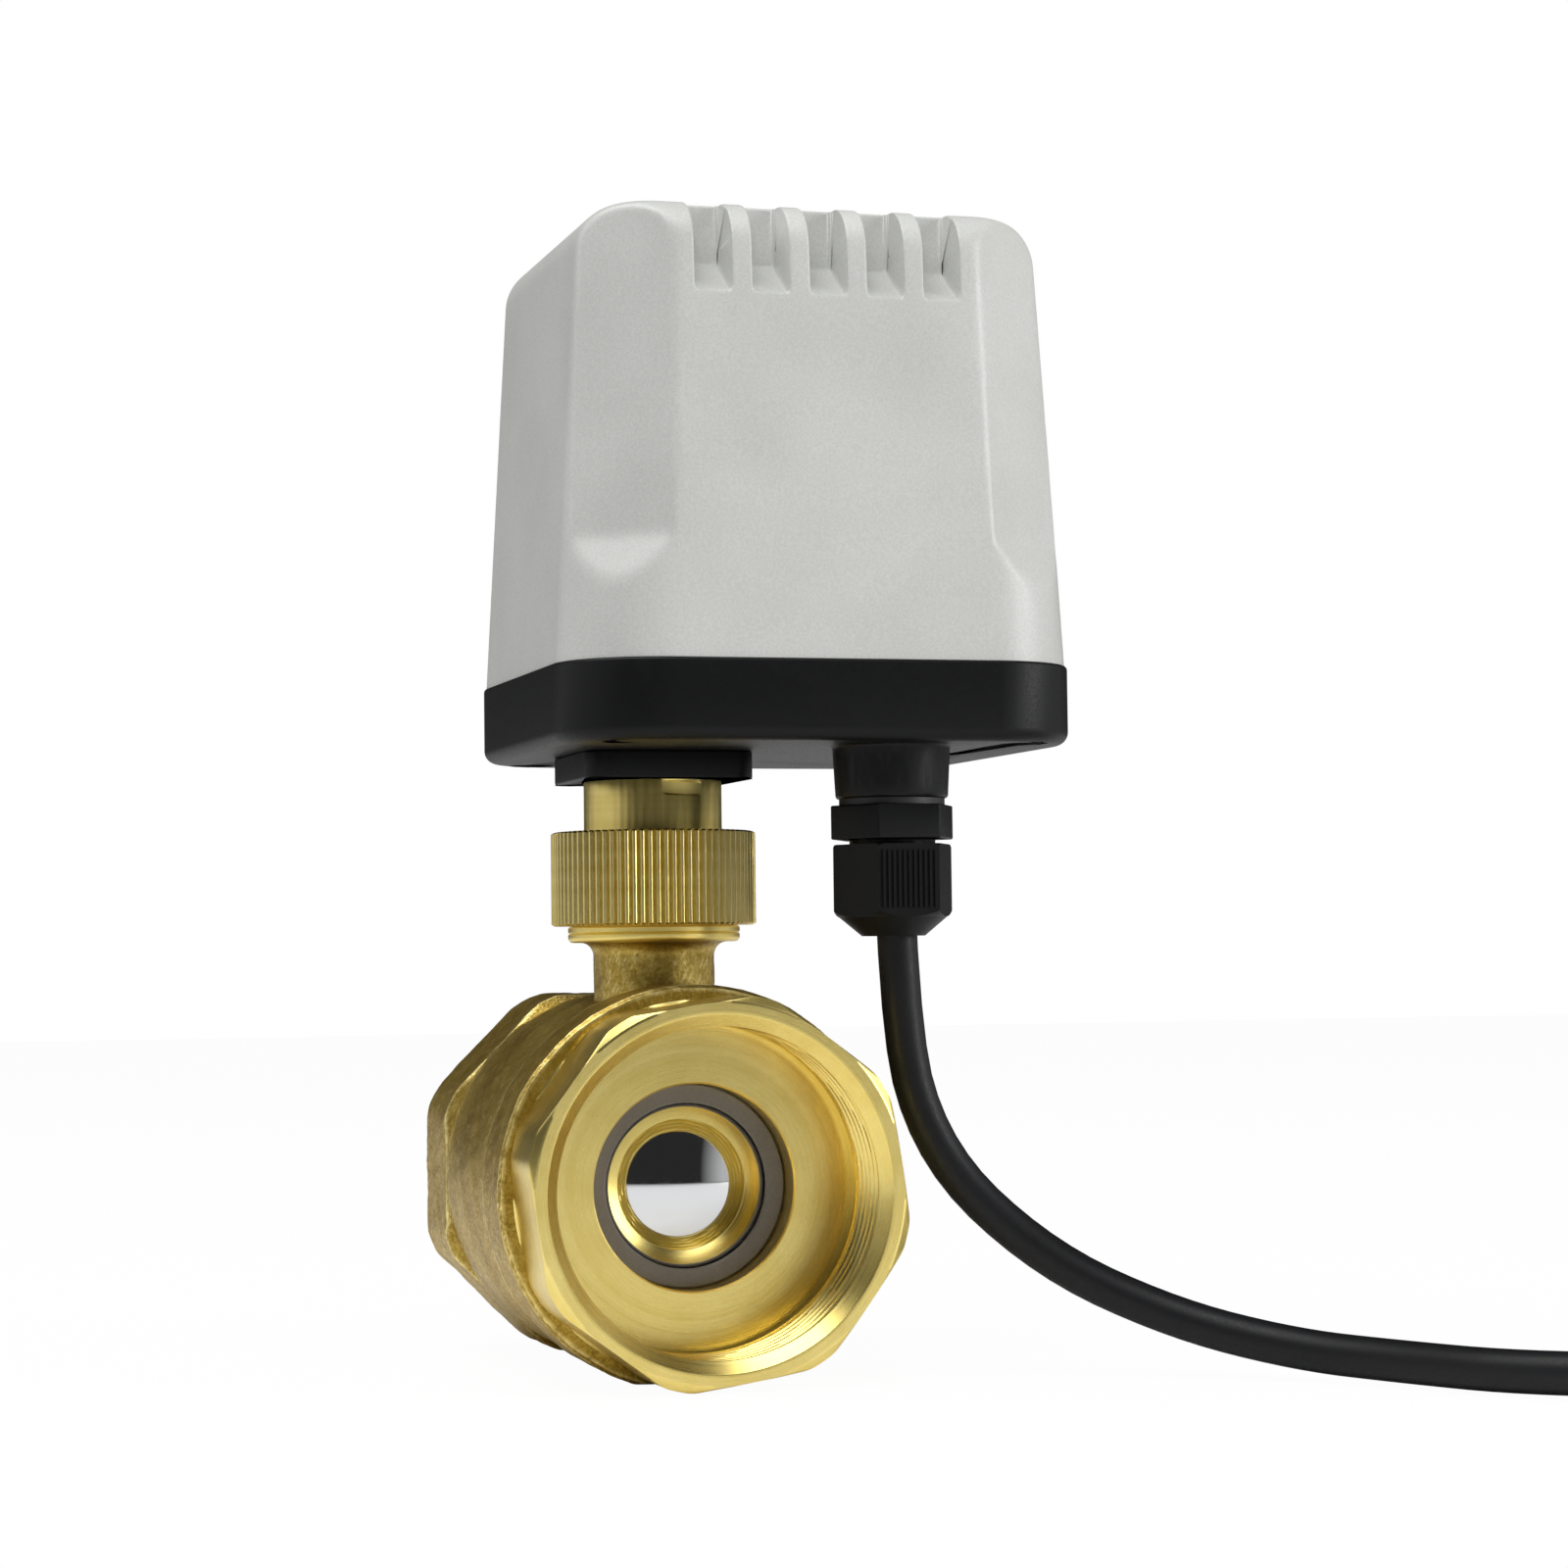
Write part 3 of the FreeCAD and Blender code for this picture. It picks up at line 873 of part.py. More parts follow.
def tube(wire, radius):
    start = wire.Edges[0]
    along = start.tangentAt(start.FirstParameter)
    ring = Part.Wire([Part.Circle(start.valueAt(start.FirstParameter), along, radius).toShape()])
    return wire.makePipeShell([ring], True, False)


cable_fall = [
    (41.6, -32.3, 38.5), (59.5, -39.5, 20), (80, -49, 9.6), (97, -62.5, 4.9), (109, -77, 3.9),
    (120.5, -99.5, 3.8), (142, -119, 4.6),
]


def coil_path():
    # half turns, each smaller by half the pitch, with a straight end of one diameter
    pitch, last = num("coil_pitch"), Vector(*cable_fall[-1])
    start = Vector(num("coil_start_x"), num("coil_start_y"), last.z)
    ahead = (start - last).normalize()
    aside = Vector(-ahead.y, ahead.x, 0)
    here, edges = start + ahead * num("cable_r * 2"), [Part.LineSegment(start,
        start + ahead * num("cable_r * 2"))]
    for half in range(int(num("coil_turns") * 2)):
        sign = 1 if half % 2 == 0 else -1
        radius = num("coil_r") - pitch / 2 * half
        far = here + aside * (sign * 2 * radius)
        edges.append(Part.Arc(here, (here + far) / 2 + ahead * (sign * radius), far))
        here = far
    hook = num("coil_hook_r") * math.sqrt(0.5)
    turned_in = here + (ahead + aside) * num("coil_hook_r")
    edges.append(Part.Arc(here, here + ahead * hook + aside * (num("coil_hook_r") - hook), turned_in))
    end = turned_in + aside * num("cable_r * 2")
    edges.append(Part.LineSegment(turned_in, end))
    return start, Part.Wire([edge.toShape() for edge in edges]), end, aside


def cable():
    start, coil, end, ahead = coil_path()
    x, y = num("gland_x"), -num("gland_y")
    upright = [Vector(x, y, num("cable_top_z")), Vector(x, y, num("cable_bend_z"))]
    route = upright + [Vector(*point) for point in cable_fall] + [start]
    drop, radii = rounded_path(route)
    cable_shape = tube(drop, num("cable_r"))
    shaped("cable", cable_shape)
    coil_shape = tube(coil, num("cable_r"))
    shaped("cable_coil", coil_shape)
    section = math.pi * num("cable_r") ** 2
    print("cable radii", [round(radius) for radius in radii])
    print("cable length", round(drop.Length), "volume share",
        round(cable_shape.Volume / section / drop.Length, 4))
    print("coil length", round(coil.Length), "volume share",
        round(coil_shape.Volume / section / coil.Length, 4))
    print("coil least gap", round(num("coil_pitch - cable_r * 2"), 2))
    return end, ahead


def cores(end, ahead):
    pitch, radius = num("core_pitch"), num("core_r")
    top = num("board_z + board_thick + 3.42")
    inner, bare = [], []
    aside = Vector(-ahead.y, ahead.x, 0)
    for lane in (-1, 0, 1):
        x, x_in = num("gland_x") + pitch * lane, num("gland_x") + num("core_r + 0.05") * 2 * lane
        wall = -num("terminal_y") - 5.4
        points = [Vector(x_in, -num("gland_y"), num("cable_top_z + 0.05")),
                  Vector(x_in, -num("gland_y"), num("cable_top_z + 6.5")),
                  Vector(x, -num("lead_y"), num("cable_top_z + 13.5")), Vector(x, -num("lead_y"), top - 9),
                  Vector(x, wall - 8, top), Vector(x, wall, top)]
        inner.append(shaped("inner_lead_%d" % (lane + 2), tube(rounded_path(points)[0], radius)))
        from_here = end + ahead * 0.05 + aside * ((num("core_r") + 0.05) * 2 * lane)
        reach = [from_here, from_here + ahead * 7, from_here + ahead * 18 + aside * (4 * lane + 0.4)]
        bare.append(shaped("core_end_%d" % (lane + 2), tube(rounded_path(reach)[0], radius)))
    group("inner_leads", *inner)
    group("core_ends", *bare)


def coil_ties():
    # two flat ties round all the turns, one on each side of the coil
    start, _, _, aside = coil_path()
    ahead = Vector(aside.y, -aside.x, 0)
    middle = start + ahead * num("cable_r * 2") + aside * num("coil_r")
    wide, wall, half_turns = num("tie_wide"), num("tie_thick"), int(num("coil_turns") * 2)
    loose, high = 0.3, num("cable_r") * 2 + 0.5
    ties = []
    for number, side in enumerate((1, -1)):
        radii = [num("coil_r") - num("coil_pitch") / 2 * half for half in range(number, half_turns, 2)]
        inner, outer = radii[-1] - num("cable_r") - loose, radii[0] + num("cable_r") + loose
        loop = Part.makeBox(outer - inner + 2 * wall, wide, high + 2 * wall).cut(
            Part.makeBox(outer - inner, wide + 2, high, Vector(wall, -1, wall)))
        corner = middle + ahead * (side * (inner - wall)) - aside * (side * wide / 2)
        corner += aside * (num("coil_pitch") / 2 * number)
        corner.z = start.z - num("cable_r") - 0.25 - wall
        loop.Placement = Placement(corner, Rotation(Vector(1, 0, 0), ahead * side))
        ties.append(shaped("coil_tie_%d" % (number + 1), loop))
    group("coil_ties", *ties)


def build():
    valve_body()
    end_cap()
    ball()
    seats()
    body_seal()
    stem()
    union_nut()
    sleeve()
    mount_plate()
    base()
    cover()
    gland()
    gland_dome_nut()
    output_train()
    idler_and_pinion()
    gear_plates()
    gearmotor()
    switch_screws = limit_switch("open_switch", 1) + limit_switch("shut_switch", -1)
    group("switch_screws", *switch_screws)
    circuit_board()
    end, ahead = cable()
    cores(end, ahead)
    coil_ties()
    doc.recompute()


nodes = [
    "valve_body", "end_cap", "ball", "seat_front", "seat_rear", "body_seal", "stem",
    "stem_thrust_washer", "stem_o_rings", "union_nut", "nut_slip_ring", "sleeve", "mount_plate",
    "plate_screws",
    "base", "base_gasket", "cover", "cover_screws", "gland_body", "gland_washer", "gland_seal",
    "gland_dome_nut",
    "gland_locknut", "output_shaft", "shaft_bush", "output_gear", "switch_cam", "idler_gear", "idler_pin",
    "gear_plate_lower", "gear_plate_upper", "gear_pillars", "pillar_nuts", "motor", "motor_pinion",
    "motor_screws", "open_switch_body", "open_switch_lever", "open_switch_plunger", "shut_switch_body",
    "shut_switch_lever", "shut_switch_plunger", "switch_screws", "circuit_board", "board_posts",
    "terminal_block", "terminal_screws", "relay", "capacitor", "inner_leads", "cable", "cable_coil",
    "core_ends",
    "coil_ties",
]


def write_parts():
    os.makedirs("parts", exist_ok=True)
    faulty = [thing.Name for thing in doc.Objects if {"Invalid", "Error"} & set(thing.State)]
    if faulty:
        raise RuntimeError("failed objects: %s" % ", ".join(faulty))
    pieces = [doc.getObjectsByLabel(label)[0] for label in nodes]
    for piece in pieces:
        if piece.Shape.isNull() or not piece.Shape.isValid() or not piece.Shape.Solids:
            raise RuntimeError("bad shape: " + piece.Label)
    for piece in pieces:
        piece.Shape.exportStep("parts/%s.step" % piece.Label)
    print("nodes", len(pieces), "solids", sum(len(piece.Shape.Solids) for piece in pieces))


build()
write_parts()
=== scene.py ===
# Motorized ball valve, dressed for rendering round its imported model. Metres, +Z up.
import json
import math
import bmesh
import bpy
import numpy as np
from mathutils import Matrix, Vector


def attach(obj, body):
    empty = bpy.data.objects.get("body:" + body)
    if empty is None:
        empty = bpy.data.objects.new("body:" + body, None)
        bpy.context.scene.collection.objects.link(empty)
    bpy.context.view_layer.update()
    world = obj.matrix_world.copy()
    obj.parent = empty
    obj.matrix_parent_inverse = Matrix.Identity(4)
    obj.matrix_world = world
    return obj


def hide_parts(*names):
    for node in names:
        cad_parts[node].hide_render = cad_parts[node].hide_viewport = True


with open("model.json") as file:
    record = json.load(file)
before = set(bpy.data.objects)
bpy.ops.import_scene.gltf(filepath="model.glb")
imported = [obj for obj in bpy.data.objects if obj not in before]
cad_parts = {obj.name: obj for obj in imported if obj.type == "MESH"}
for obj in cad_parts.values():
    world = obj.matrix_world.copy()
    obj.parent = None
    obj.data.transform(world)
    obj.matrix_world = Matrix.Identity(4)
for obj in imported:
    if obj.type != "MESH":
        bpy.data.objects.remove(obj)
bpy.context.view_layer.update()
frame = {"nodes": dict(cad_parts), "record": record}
nodes = frame["nodes"]
mm = 0.001
axisZ = 33.4 * mm          # height of the port axis
slotOf = {entry["node"]: entry["material_slot"] for entry in frame["record"]["subparts"]}
bodyOf = {node: body for body, names in frame["record"]["behaviour"]["bodies"].items() for node in names}


def toLinear(hexColour):
    # sRGB hex to a linear RGBA tuple
    channels = [int(hexColour[i:i + 2], 16) / 255 for i in (1, 3, 5)]
    return tuple(c / 12.92 if c <= 0.04045 else ((c + 0.055) / 1.055) ** 2.4 for c in channels) + (1.0,)


def addNode(tree, kind, settings=None, links=None):
    # settings name attributes or sockets, links name sockets and give the sockets that feed them
    node = tree.nodes.new(kind)
    for key, value in (settings or {}).items():
        if isinstance(key, str) and hasattr(node, key):
            setattr(node, key, value)
        else:
            node.inputs[key].default_value = value
    for key, source in (links or {}).items():
        tree.links.new(source, node.inputs[key])
    return node


def newMaterial(name):
    material = bpy.data.materials.new(name)
    material.use_nodes = True
    tree = material.node_tree
    tree.nodes.clear()
    surface = addNode(tree, "ShaderNodeBsdfPrincipled")
    output = addNode(tree, "ShaderNodeOutputMaterial", links={"Surface": surface.outputs[0]})
    output.target = "ALL"
    return material, tree, surface


def ramp(tree, factor, *stops):
    # a colour ramp from (position, hex) pairs
    node = addNode(tree, "ShaderNodeValToRGB", links={"Fac": factor})
    band = node.color_ramp
    for index, (position, colour) in enumerate(stops):
        stop = band.elements[index] if index < 2 else band.elements.new(position)
        stop.position = position
        stop.color = toLinear(colour)
    return node.outputs["Color"]


def spread(tree, value, low, high, fromLow=0.0, fromHigh=1.0):
    # carries values from one range to another and holds them at its ends
    node = addNode(tree, "ShaderNodeMapRange", {1: fromLow, 2: fromHigh, 3: low, 4: high}, {0: value})
    return node.outputs["Result"]


def objectPlace(tree):
    return addNode(tree, "ShaderNodeTexCoord").outputs["Object"]


def grain(tree, size, detail=3.0, rough=0.6, where=None):
    # noise whose grains are about size millimetres across
    settings = {"Scale": 1 / (size * mm), "Detail": detail, "Roughness": rough}
    node = addNode(tree, "ShaderNodeTexNoise", settings, {"Vector": where or objectPlace(tree)})
    return node.outputs["Fac"]


def bumpOn(tree, surface, height, depth, strength, under=None):
    # depth is the height in millimetres that a full step of the pattern stands for
    links = {"Height": height}
    if under is not None:
        links["Normal"] = under
    node = addNode(tree, "ShaderNodeBump", {"Strength": strength, "Distance": depth * mm}, links)
    tree.links.new(node.outputs["Normal"], surface.inputs["Normal"])
    return node.outputs["Normal"]


def addShare(tree, value, share, rest):
    # value times share, plus rest
    settings = {"operation": "MULTIPLY_ADD", 1: share}
    return addNode(tree, "ShaderNodeMath", settings, {0: value, 2: rest}).outputs[0]


def radiusFrom(tree, axis, height):
    # distance from the port axis ("y") or the stem axis ("z") and place along it, in metres
    parts = addNode(tree, "ShaderNodeSeparateXYZ", links={0: objectPlace(tree)})
    across = parts.outputs["X"]
    other = parts.outputs["Y"]
    if axis == "y":
        other = addNode(tree, "ShaderNodeMath", {"operation": "SUBTRACT", 1: height},
                        {0: parts.outputs["Z"]}).outputs[0]
    along = parts.outputs["Y" if axis == "y" else "Z"]
    flat = addNode(tree, "ShaderNodeCombineXYZ", links={"X": across, "Y": other})
    length = addNode(tree, "ShaderNodeVectorMath", {"operation": "LENGTH"}, {0: flat.outputs[0]})
    return length.outputs["Value"], along


# grains and depths in millimetres, shares of the tone that colours the skin; worn is the pale colour of a
# highlight painted onto convex edges
castBrassLook = {"dark": "#705A1C", "mid": "#A88C3E", "light": "#D4BC68", "worn": "#F4E3A0",
                 "sandGrain": 0.55, "pitGrain": 2.2, "cloudGrain": 14, "rough": (0.36, 0.52),
                 "depth": 0.08, "pitDepth": 0.25, "sandShare": 0.45, "pitShare": 0.3, "cloudShare": 0.35}


def castBrass():
    # Sand-cast yellow brass: the mould's sand leaves a pebbled skin, darker in its hollows
    material, tree, surface = newMaterial("sandCastBrass")
    look = castBrassLook
    sand = grain(tree, look["sandGrain"], detail=4, rough=0.65)
    pits = grain(tree, look["pitGrain"], detail=3, rough=0.6)
    cloud = grain(tree, look["cloudGrain"], detail=2, rough=0.5)
    pitTone = spread(tree, pits, 0.0, look["pitShare"])
    sandAndPits = addShare(tree, sand, look["sandShare"], pitTone)
    mixed = addShare(tree, cloud, look["cloudShare"], sandAndPits)
    colour = ramp(tree, mixed, (0.32, look["dark"]), (0.78, look["light"]), (0.52, look["mid"]))
    # painted highlight: a pale colour mixed in along convex edges, after the mesh's edge mask broken up by
    # the pits
    worn = addNode(tree, "ShaderNodeAttribute", {"attribute_name": "edgeHighlight"}).outputs["Fac"]
    highlightMask = addNode(tree, "ShaderNodeMath", {"operation": "MULTIPLY"},
                     {0: worn, 1: spread(tree, pits, 0.3, 1.0, 0.35, 0.6)}).outputs[0]
    bright = addNode(tree, "ShaderNodeMixRGB", {"Color2": toLinear(look["worn"])},
                     {"Fac": highlightMask, "Color1": colour}).outputs[0]
    smooth, coarse = look["rough"]
    tree.links.new(bright, surface.inputs["Base Color"])
    tree.links.new(spread(tree, sand, coarse, smooth, 0.3, 0.7), surface.inputs["Roughness"])
    surface.inputs["Metallic"].default_value = 1.0
    pitted = bumpOn(tree, surface, pits, look["pitDepth"], 0.5)
    bumpOn(tree, surface, sand, look["depth"], 0.8, pitted)
    return material


# tool rings, broad bands and stains, in millimetres; slant keeps the rings apart on cones and steps
turnedLook = {"ring": 0.22, "band": 2.4, "stain": 9, "slant": 1.31, "bandShare": 0.5, "stainShare": 0.5}


def turnedBrass(name, axis, height, rough, depth=0.012, base="#FAE694", dark="#E4CB70"):
    # Yellow brass straight off the lathe: fine tool rings about its axis smear the light across them
    material, tree, surface = newMaterial(name)
    look = turnedLook
    radius, along = radiusFrom(tree, axis, height)
    way = addShare(tree, along, look["slant"], radius)
    lane = addNode(tree, "ShaderNodeCombineXYZ", links={"X": way}).outputs[0]
    rings = grain(tree, look["ring"], detail=3, rough=0.7, where=lane)
    bands = addNode(tree, "ShaderNodeTexNoise", {"Scale": 1 / (look["band"] * mm), "Detail": 1.0},
                    {"Vector": lane}).outputs["Fac"]
    stain = grain(tree, look["stain"], detail=3, rough=0.6)
    tone = addShare(tree, bands, look["bandShare"], spread(tree, stain, 0.0, look["stainShare"]))
    colour = ramp(tree, tone, (0.3, dark), (0.72, base))
    tree.links.new(colour, surface.inputs["Base Color"])
    tree.links.new(spread(tree, rings, *rough, 0.3, 0.7), surface.inputs["Roughness"])
    surface.inputs["Metallic"].default_value = 1.0
    bumpOn(tree, surface, rings, depth, 0.7)
    return material


def chromePlate():
    # Hard chrome on a ground brass ball: near mirror, its polish a little uneven
    material, tree, surface = newMaterial("chromePlate")
    surface.inputs["Base Color"].default_value = toLinear("#D9DADB")
    surface.inputs["Metallic"].default_value = 1.0
    polish = grain(tree, 1.2, detail=4, rough=0.7)
    tree.links.new(spread(tree, polish, 0.03, 0.1, 0.4, 0.8), surface.inputs["Roughness"])
    return material


pigmentCloud = 30          # millimetres


def moulded(name, base, deep, grainSize, depth, rough, coat=0.0, shine=0.5):
    # Injection-moulded plastic: the tool's spark-eroded texture, a touch of tone from the pigment
    material, tree, surface = newMaterial(name)
    texture = grain(tree, grainSize, detail=2, rough=0.55)
    cloud = grain(tree, pigmentCloud, detail=2, rough=0.5)
    colour = ramp(tree, cloud, (0.35, deep), (0.65, base))
    speck = addNode(tree, "ShaderNodeMixRGB", {"blend_type": "MULTIPLY", "Fac": 0.25},
                    {"Color1": colour, "Color2": ramp(tree, texture, (0.35, "#C9C9C9"), (0.65, "#FFFFFF"))})
    tree.links.new(speck.outputs[0], surface.inputs["Base Color"])
    tree.links.new(spread(tree, texture, rough + 0.08, rough - 0.06, 0.3, 0.7), surface.inputs["Roughness"])
    surface.inputs["Coat Weight"].default_value = coat
    surface.inputs["Specular IOR Level"].default_value = shine
    bumpOn(tree, surface, texture, depth, 0.6)
    return material


def platedSteel(name, base, dark, rough=0.32):
    # Zinc-plated or drawn steel: faint spangle and a fine grain
    material, tree, surface = newMaterial(name)
    spangle = grain(tree, 2.5, detail=3, rough=0.6)
    tree.links.new(ramp(tree, spangle, (0.3, dark), (0.7, base)), surface.inputs["Base Color"])
    tree.links.new(spread(tree, spangle, rough - 0.06, rough + 0.08, 0.3, 0.7), surface.inputs["Roughness"])
    surface.inputs["Metallic"].default_value = 1.0
    bumpOn(tree, surface, grain(tree, 0.3, detail=2, rough=0.5), 0.01, 0.5)
    return material


# plastics give two colours, then grain and depth in millimetres, then roughness
finishes = {
    "cast_brass": castBrass(),
    "turned_brass": turnedBrass("turnedBrassStem", "z", 0.0, (0.3, 0.42)),
    "turned_brass_nut": turnedBrass("knurledBrass", "z", 0.0, (0.24, 0.26), depth=0.0004,
                                    base="#F8E49A", dark="#E6CE7C"),
    "turned_brass_port": turnedBrass("turnedBrassPort", "y", axisZ, (0.22, 0.36)),
    "chromed_brass": chromePlate(),
    "seat_ptfe": moulded("filledPtfe", "#8C857B", "#767066", 0.5, 0.01, 0.42),
    "seal_rubber": moulded("nitrileRubber", "#1B1B1C", "#141415", 0.3, 0.01, 0.5),
    "black_plastic": moulded("blackNylon", "#0A0B0D", "#070809", 0.35, 0.02, 0.45, shine=0.2),
    "grey_plastic": moulded("paleGreyAbs", "#CBCCC8", "#C3C4C0", 0.45, 0.02, 0.4),
    "zinc_steel": platedSteel("zincPlatedSteel", "#C9CACC", "#9FA1A4"),
    "gear_nylon": moulded("naturalAcetal", "#ECE9DC", "#E0DCCD", 0.6, 0.01, 0.35),
    "motor_steel": platedSteel("drawnSteelCan", "#C4C6C6", "#A9ABAC", 0.38),
    "switch_red": moulded("redPlunger", "#A8221C", "#8E1B16", 0.3, 0.01, 0.35),
    "board_green": moulded("solderResist", "#1F6A35", "#195A2C", 1.5, 0.01, 0.3, coat=0.3),
    "terminal_plastic": moulded("greenTerminal", "#2F7F49", "#276B3D", 0.5, 0.01, 0.35),
    "capacitor_sleeve": moulded("shrinkSleeve", "#23264F", "#1B1E42", 0.8, 0.01, 0.3),
    "core_plastic": moulded("coreInsulation", "#6B4222", "#5A371C", 0.4, 0.01, 0.38),
    "cable_rubber": moulded("rubberSheath", "#121316", "#0D0E10", 0.5, 0.03, 0.48, shine=0.3),
}


def dressNode(name, finish=None):
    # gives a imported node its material
    mesh = nodes[name].data
    mesh.materials.clear()
    mesh.materials.append(finishes[finish or slotOf[name]])


for nodeName in nodes:
    dressNode(nodeName)
dressNode("union_nut", "turned_brass_nut")
print("materials ready")


def addPiece(name, mesh, body, slot, finish=None):
    # a skin that rides one body and stands in one material slot
    piece = bpy.data.objects.new(name, mesh)
    bpy.context.scene.collection.objects.link(piece)
    mesh.materials.clear()
    mesh.materials.append(finishes[finish or slot])
    mesh.polygons.foreach_set("use_smooth", [True] * len(mesh.polygons))
    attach(piece, body)
    return piece


def facesOutwards(mesh):
    # a closed shell whose signed volume is negative points inwards, so all its faces are turned round
    work = bmesh.new()
    work.from_mesh(mesh)
    if work.calc_volume(signed=True) < 0:
        bmesh.ops.reverse_faces(work, faces=work.faces)
    work.to_mesh(mesh)
    work.free()


def closePoles(mesh):
    # rows drawn together to a point become one vertex, and what that leaves without a face goes
    work = bmesh.new()
    work.from_mesh(mesh)
    bmesh.ops.remove_doubles(work, verts=work.verts, dist=0.001 * mm)
    bmesh.ops.delete(work, geom=[edge for edge in work.edges if edge.is_wire], context="EDGES")
    work.to_mesh(mesh)
    work.free()


def gridMesh(name, points):
    # points is rows x columns x 3 in metres; faces join each point to the next row and column, and the
    # last row and column to the first, so that the shell is closed both ways
    rows, columns = points.shape[:2]
    i, j = np.meshgrid(np.arange(rows), np.arange(columns), indexing="ij")
    iNext, jNext = (i + 1) % rows, (j + 1) % columns
    quads = np.stack([i * columns + j, i * columns + jNext,
                      iNext * columns + jNext, iNext * columns + j], -1)
    mesh = bpy.data.meshes.new(name)
    mesh.from_pydata(points.reshape(-1, 3).tolist(), [], quads.reshape(-1, 4).tolist())
    facesOutwards(mesh)
    return mesh


def alongProfile(corners, steps):
    # points a step or less apart on straight runs through the corners, as (radius, place, run number)
    corners = np.asarray(corners, float)
    out = []
    for index in range(len(corners)):
        a, b = corners[index], corners[(index + 1) % len(corners)]
        count = max(1, int(np.ceil(np.linalg.norm(b - a) / steps[index % len(steps)])))
        share = np.arange(count)[:, None] / count
        out.append(np.hstack([a + (b - a) * share, np.full((count, 1), index)]))
    return np.vstack(out)


def inRuns(run, ends):
    # whether each row's run number lies from the first of the two ends to the last
    return (run >= ends[0]) & (run <= ends[1])


def softMin(a, b, blend):
    # the lower of two surfaces, rounded where they cross
    h = np.clip(0.5 + 0.5 * (b - a) / blend, 0, 1)
    return b * (1 - h) + a * h - blend * h * (1 - h)


def octagonRadius(angle, flats, turn):
    # distance to an octagon's side at each angle
    return flats / 2 / np.cos((angle - turn + np.pi / 8) % (np.pi / 4) - np.pi / 8)


def threadDepth(angle, place, start, deep, pitch):
    # a right-handed pipe thread: rounded V grooves, deep at the root, fading in over its first turn
    phase = (place / pitch - angle / (2 * np.pi)) % 1.0
    groove = 0.5 - 0.5 * np.cos(2 * np.pi * phase)
    fade = np.clip((place - start) / pitch, 0, 1)
    return deep * groove * fade


def seededWobble(count, seed, waves, size):
    # a smooth random wobble round a circle, the sum of seeded waves
    rng = np.random.default_rng(seed)
    angle = np.arange(count) * 2 * np.pi / count
    wobble = sum(rng.normal() * np.sin(k * angle + rng.uniform(0, 2 * np.pi)) / k for k in range(2, waves))
    return size * wobble


def copyMesh(name):
    # a node's loose triangles welded, with flat faces made whole so that a bevel follows their outlines
    mesh = nodes[name].data.copy()
    work = bmesh.new()
    work.from_mesh(mesh)
    bmesh.ops.remove_doubles(work, verts=work.verts, dist=0.002 * mm)
    bmesh.ops.dissolve_limit(work, angle_limit=math.radians(0.6), verts=work.verts, edges=work.edges)
    work.to_mesh(mesh)
    work.free()
    return mesh


edgeAngle = 34.0           # degrees; edges sharper than this are rounded
# radius in millimetres that moulding or the lathe leaves on each piece's edges
edgeRounds = {"base": 0.6, "mount_plate": 0.4, "gland_body": 0.3, "gland_locknut": 0.2, "sleeve": 0.25}
sleeveTurn = 20.0          # degrees that bring the sleeve's notch where the photograph has it


def addSoftened(name, radius, turn=0.0):
    mesh = copyMesh(name)
    mesh.transform(Matrix.Rotation(math.radians(turn), 4, "Z"))
    piece = addPiece(name + "Softened", mesh, bodyOf.get(name, "root"), slotOf[name])
    bevel = piece.modifiers.new("edges", "BEVEL")
    bevel.width, bevel.segments = radius * mm, 3
    bevel.limit_method, bevel.angle_limit = "ANGLE", math.radians(edgeAngle)
    bevel.use_clamp_overlap = False
    bevel.harden_normals = True
    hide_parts(name)


for nodeName, edgeRound in edgeRounds.items():
    addSoftened(nodeName, edgeRound, sleeveTurn if nodeName == "sleeve" else 0.0)
print("edges rounded")


# focal length in the photograph's pixels, place in millimetres, turns in degrees
cameraPlace = {"focal": 3617.9, "frame": 1600, "sensor": 36.0, "x": -159.6, "y": -626.0, "z": 72.9,
               "yaw": 16.43, "pitch": 2.83, "roll": -0.687}


def addCamera():
    # the fitted viewpoint: yaw from +Y towards +X, then pitch up, then roll about the view
    view = cameraPlace
    yaw, pitch, roll = (math.radians(view[k]) for k in ("yaw", "pitch", "roll"))
    forward = Vector((math.sin(yaw) * math.cos(pitch), math.cos(yaw) * math.cos(pitch), math.sin(pitch)))
    right = Vector((math.cos(yaw), -math.sin(yaw), 0))
    up = right.cross(forward)
    tiltedRight = right * math.cos(roll) + up * math.sin(roll)
    tiltedUp = up * math.cos(roll) - right * math.sin(roll)
    camera = bpy.data.objects.new("camera", bpy.data.cameras.new("camera"))
    camera.data.sensor_width = view["sensor"]
    camera.data.lens = view["sensor"] * view["focal"] / view["frame"]
    camera.data.clip_start, camera.data.clip_end = 0.01, 20
    place = Matrix.Translation(Vector((view["x"], view["y"], view["z"])) * mm)
    turn = Matrix((tiltedRight, tiltedUp, -forward)).transposed().to_4x4()
    camera.matrix_world = place @ turn
    bpy.context.scene.collection.objects.link(camera)
    bpy.context.scene.camera = camera


addCamera()


# lengths in millimetres but for the cord's own length, in metres
cableLook = {"radius": 3.6, "length": 1.083, "coilStart": (208, -117.5), "coilRadius": 50, "coilPitch": 8,
             "turns": 3, "pointsPerTurn": 16, "hook": 18, "hookPoints": 3,
             "route": [(36, -30, 114.5), (36, -30, 64), (41.6, -32.3, 38.5), (59.5, -39.5, 20),
                       (80, -49, 9.6), (97, -62.5, 4.9), (109, -77, 3.9), (120.5, -99.5, 3.8),
                       (142, -119, 4.6)]}


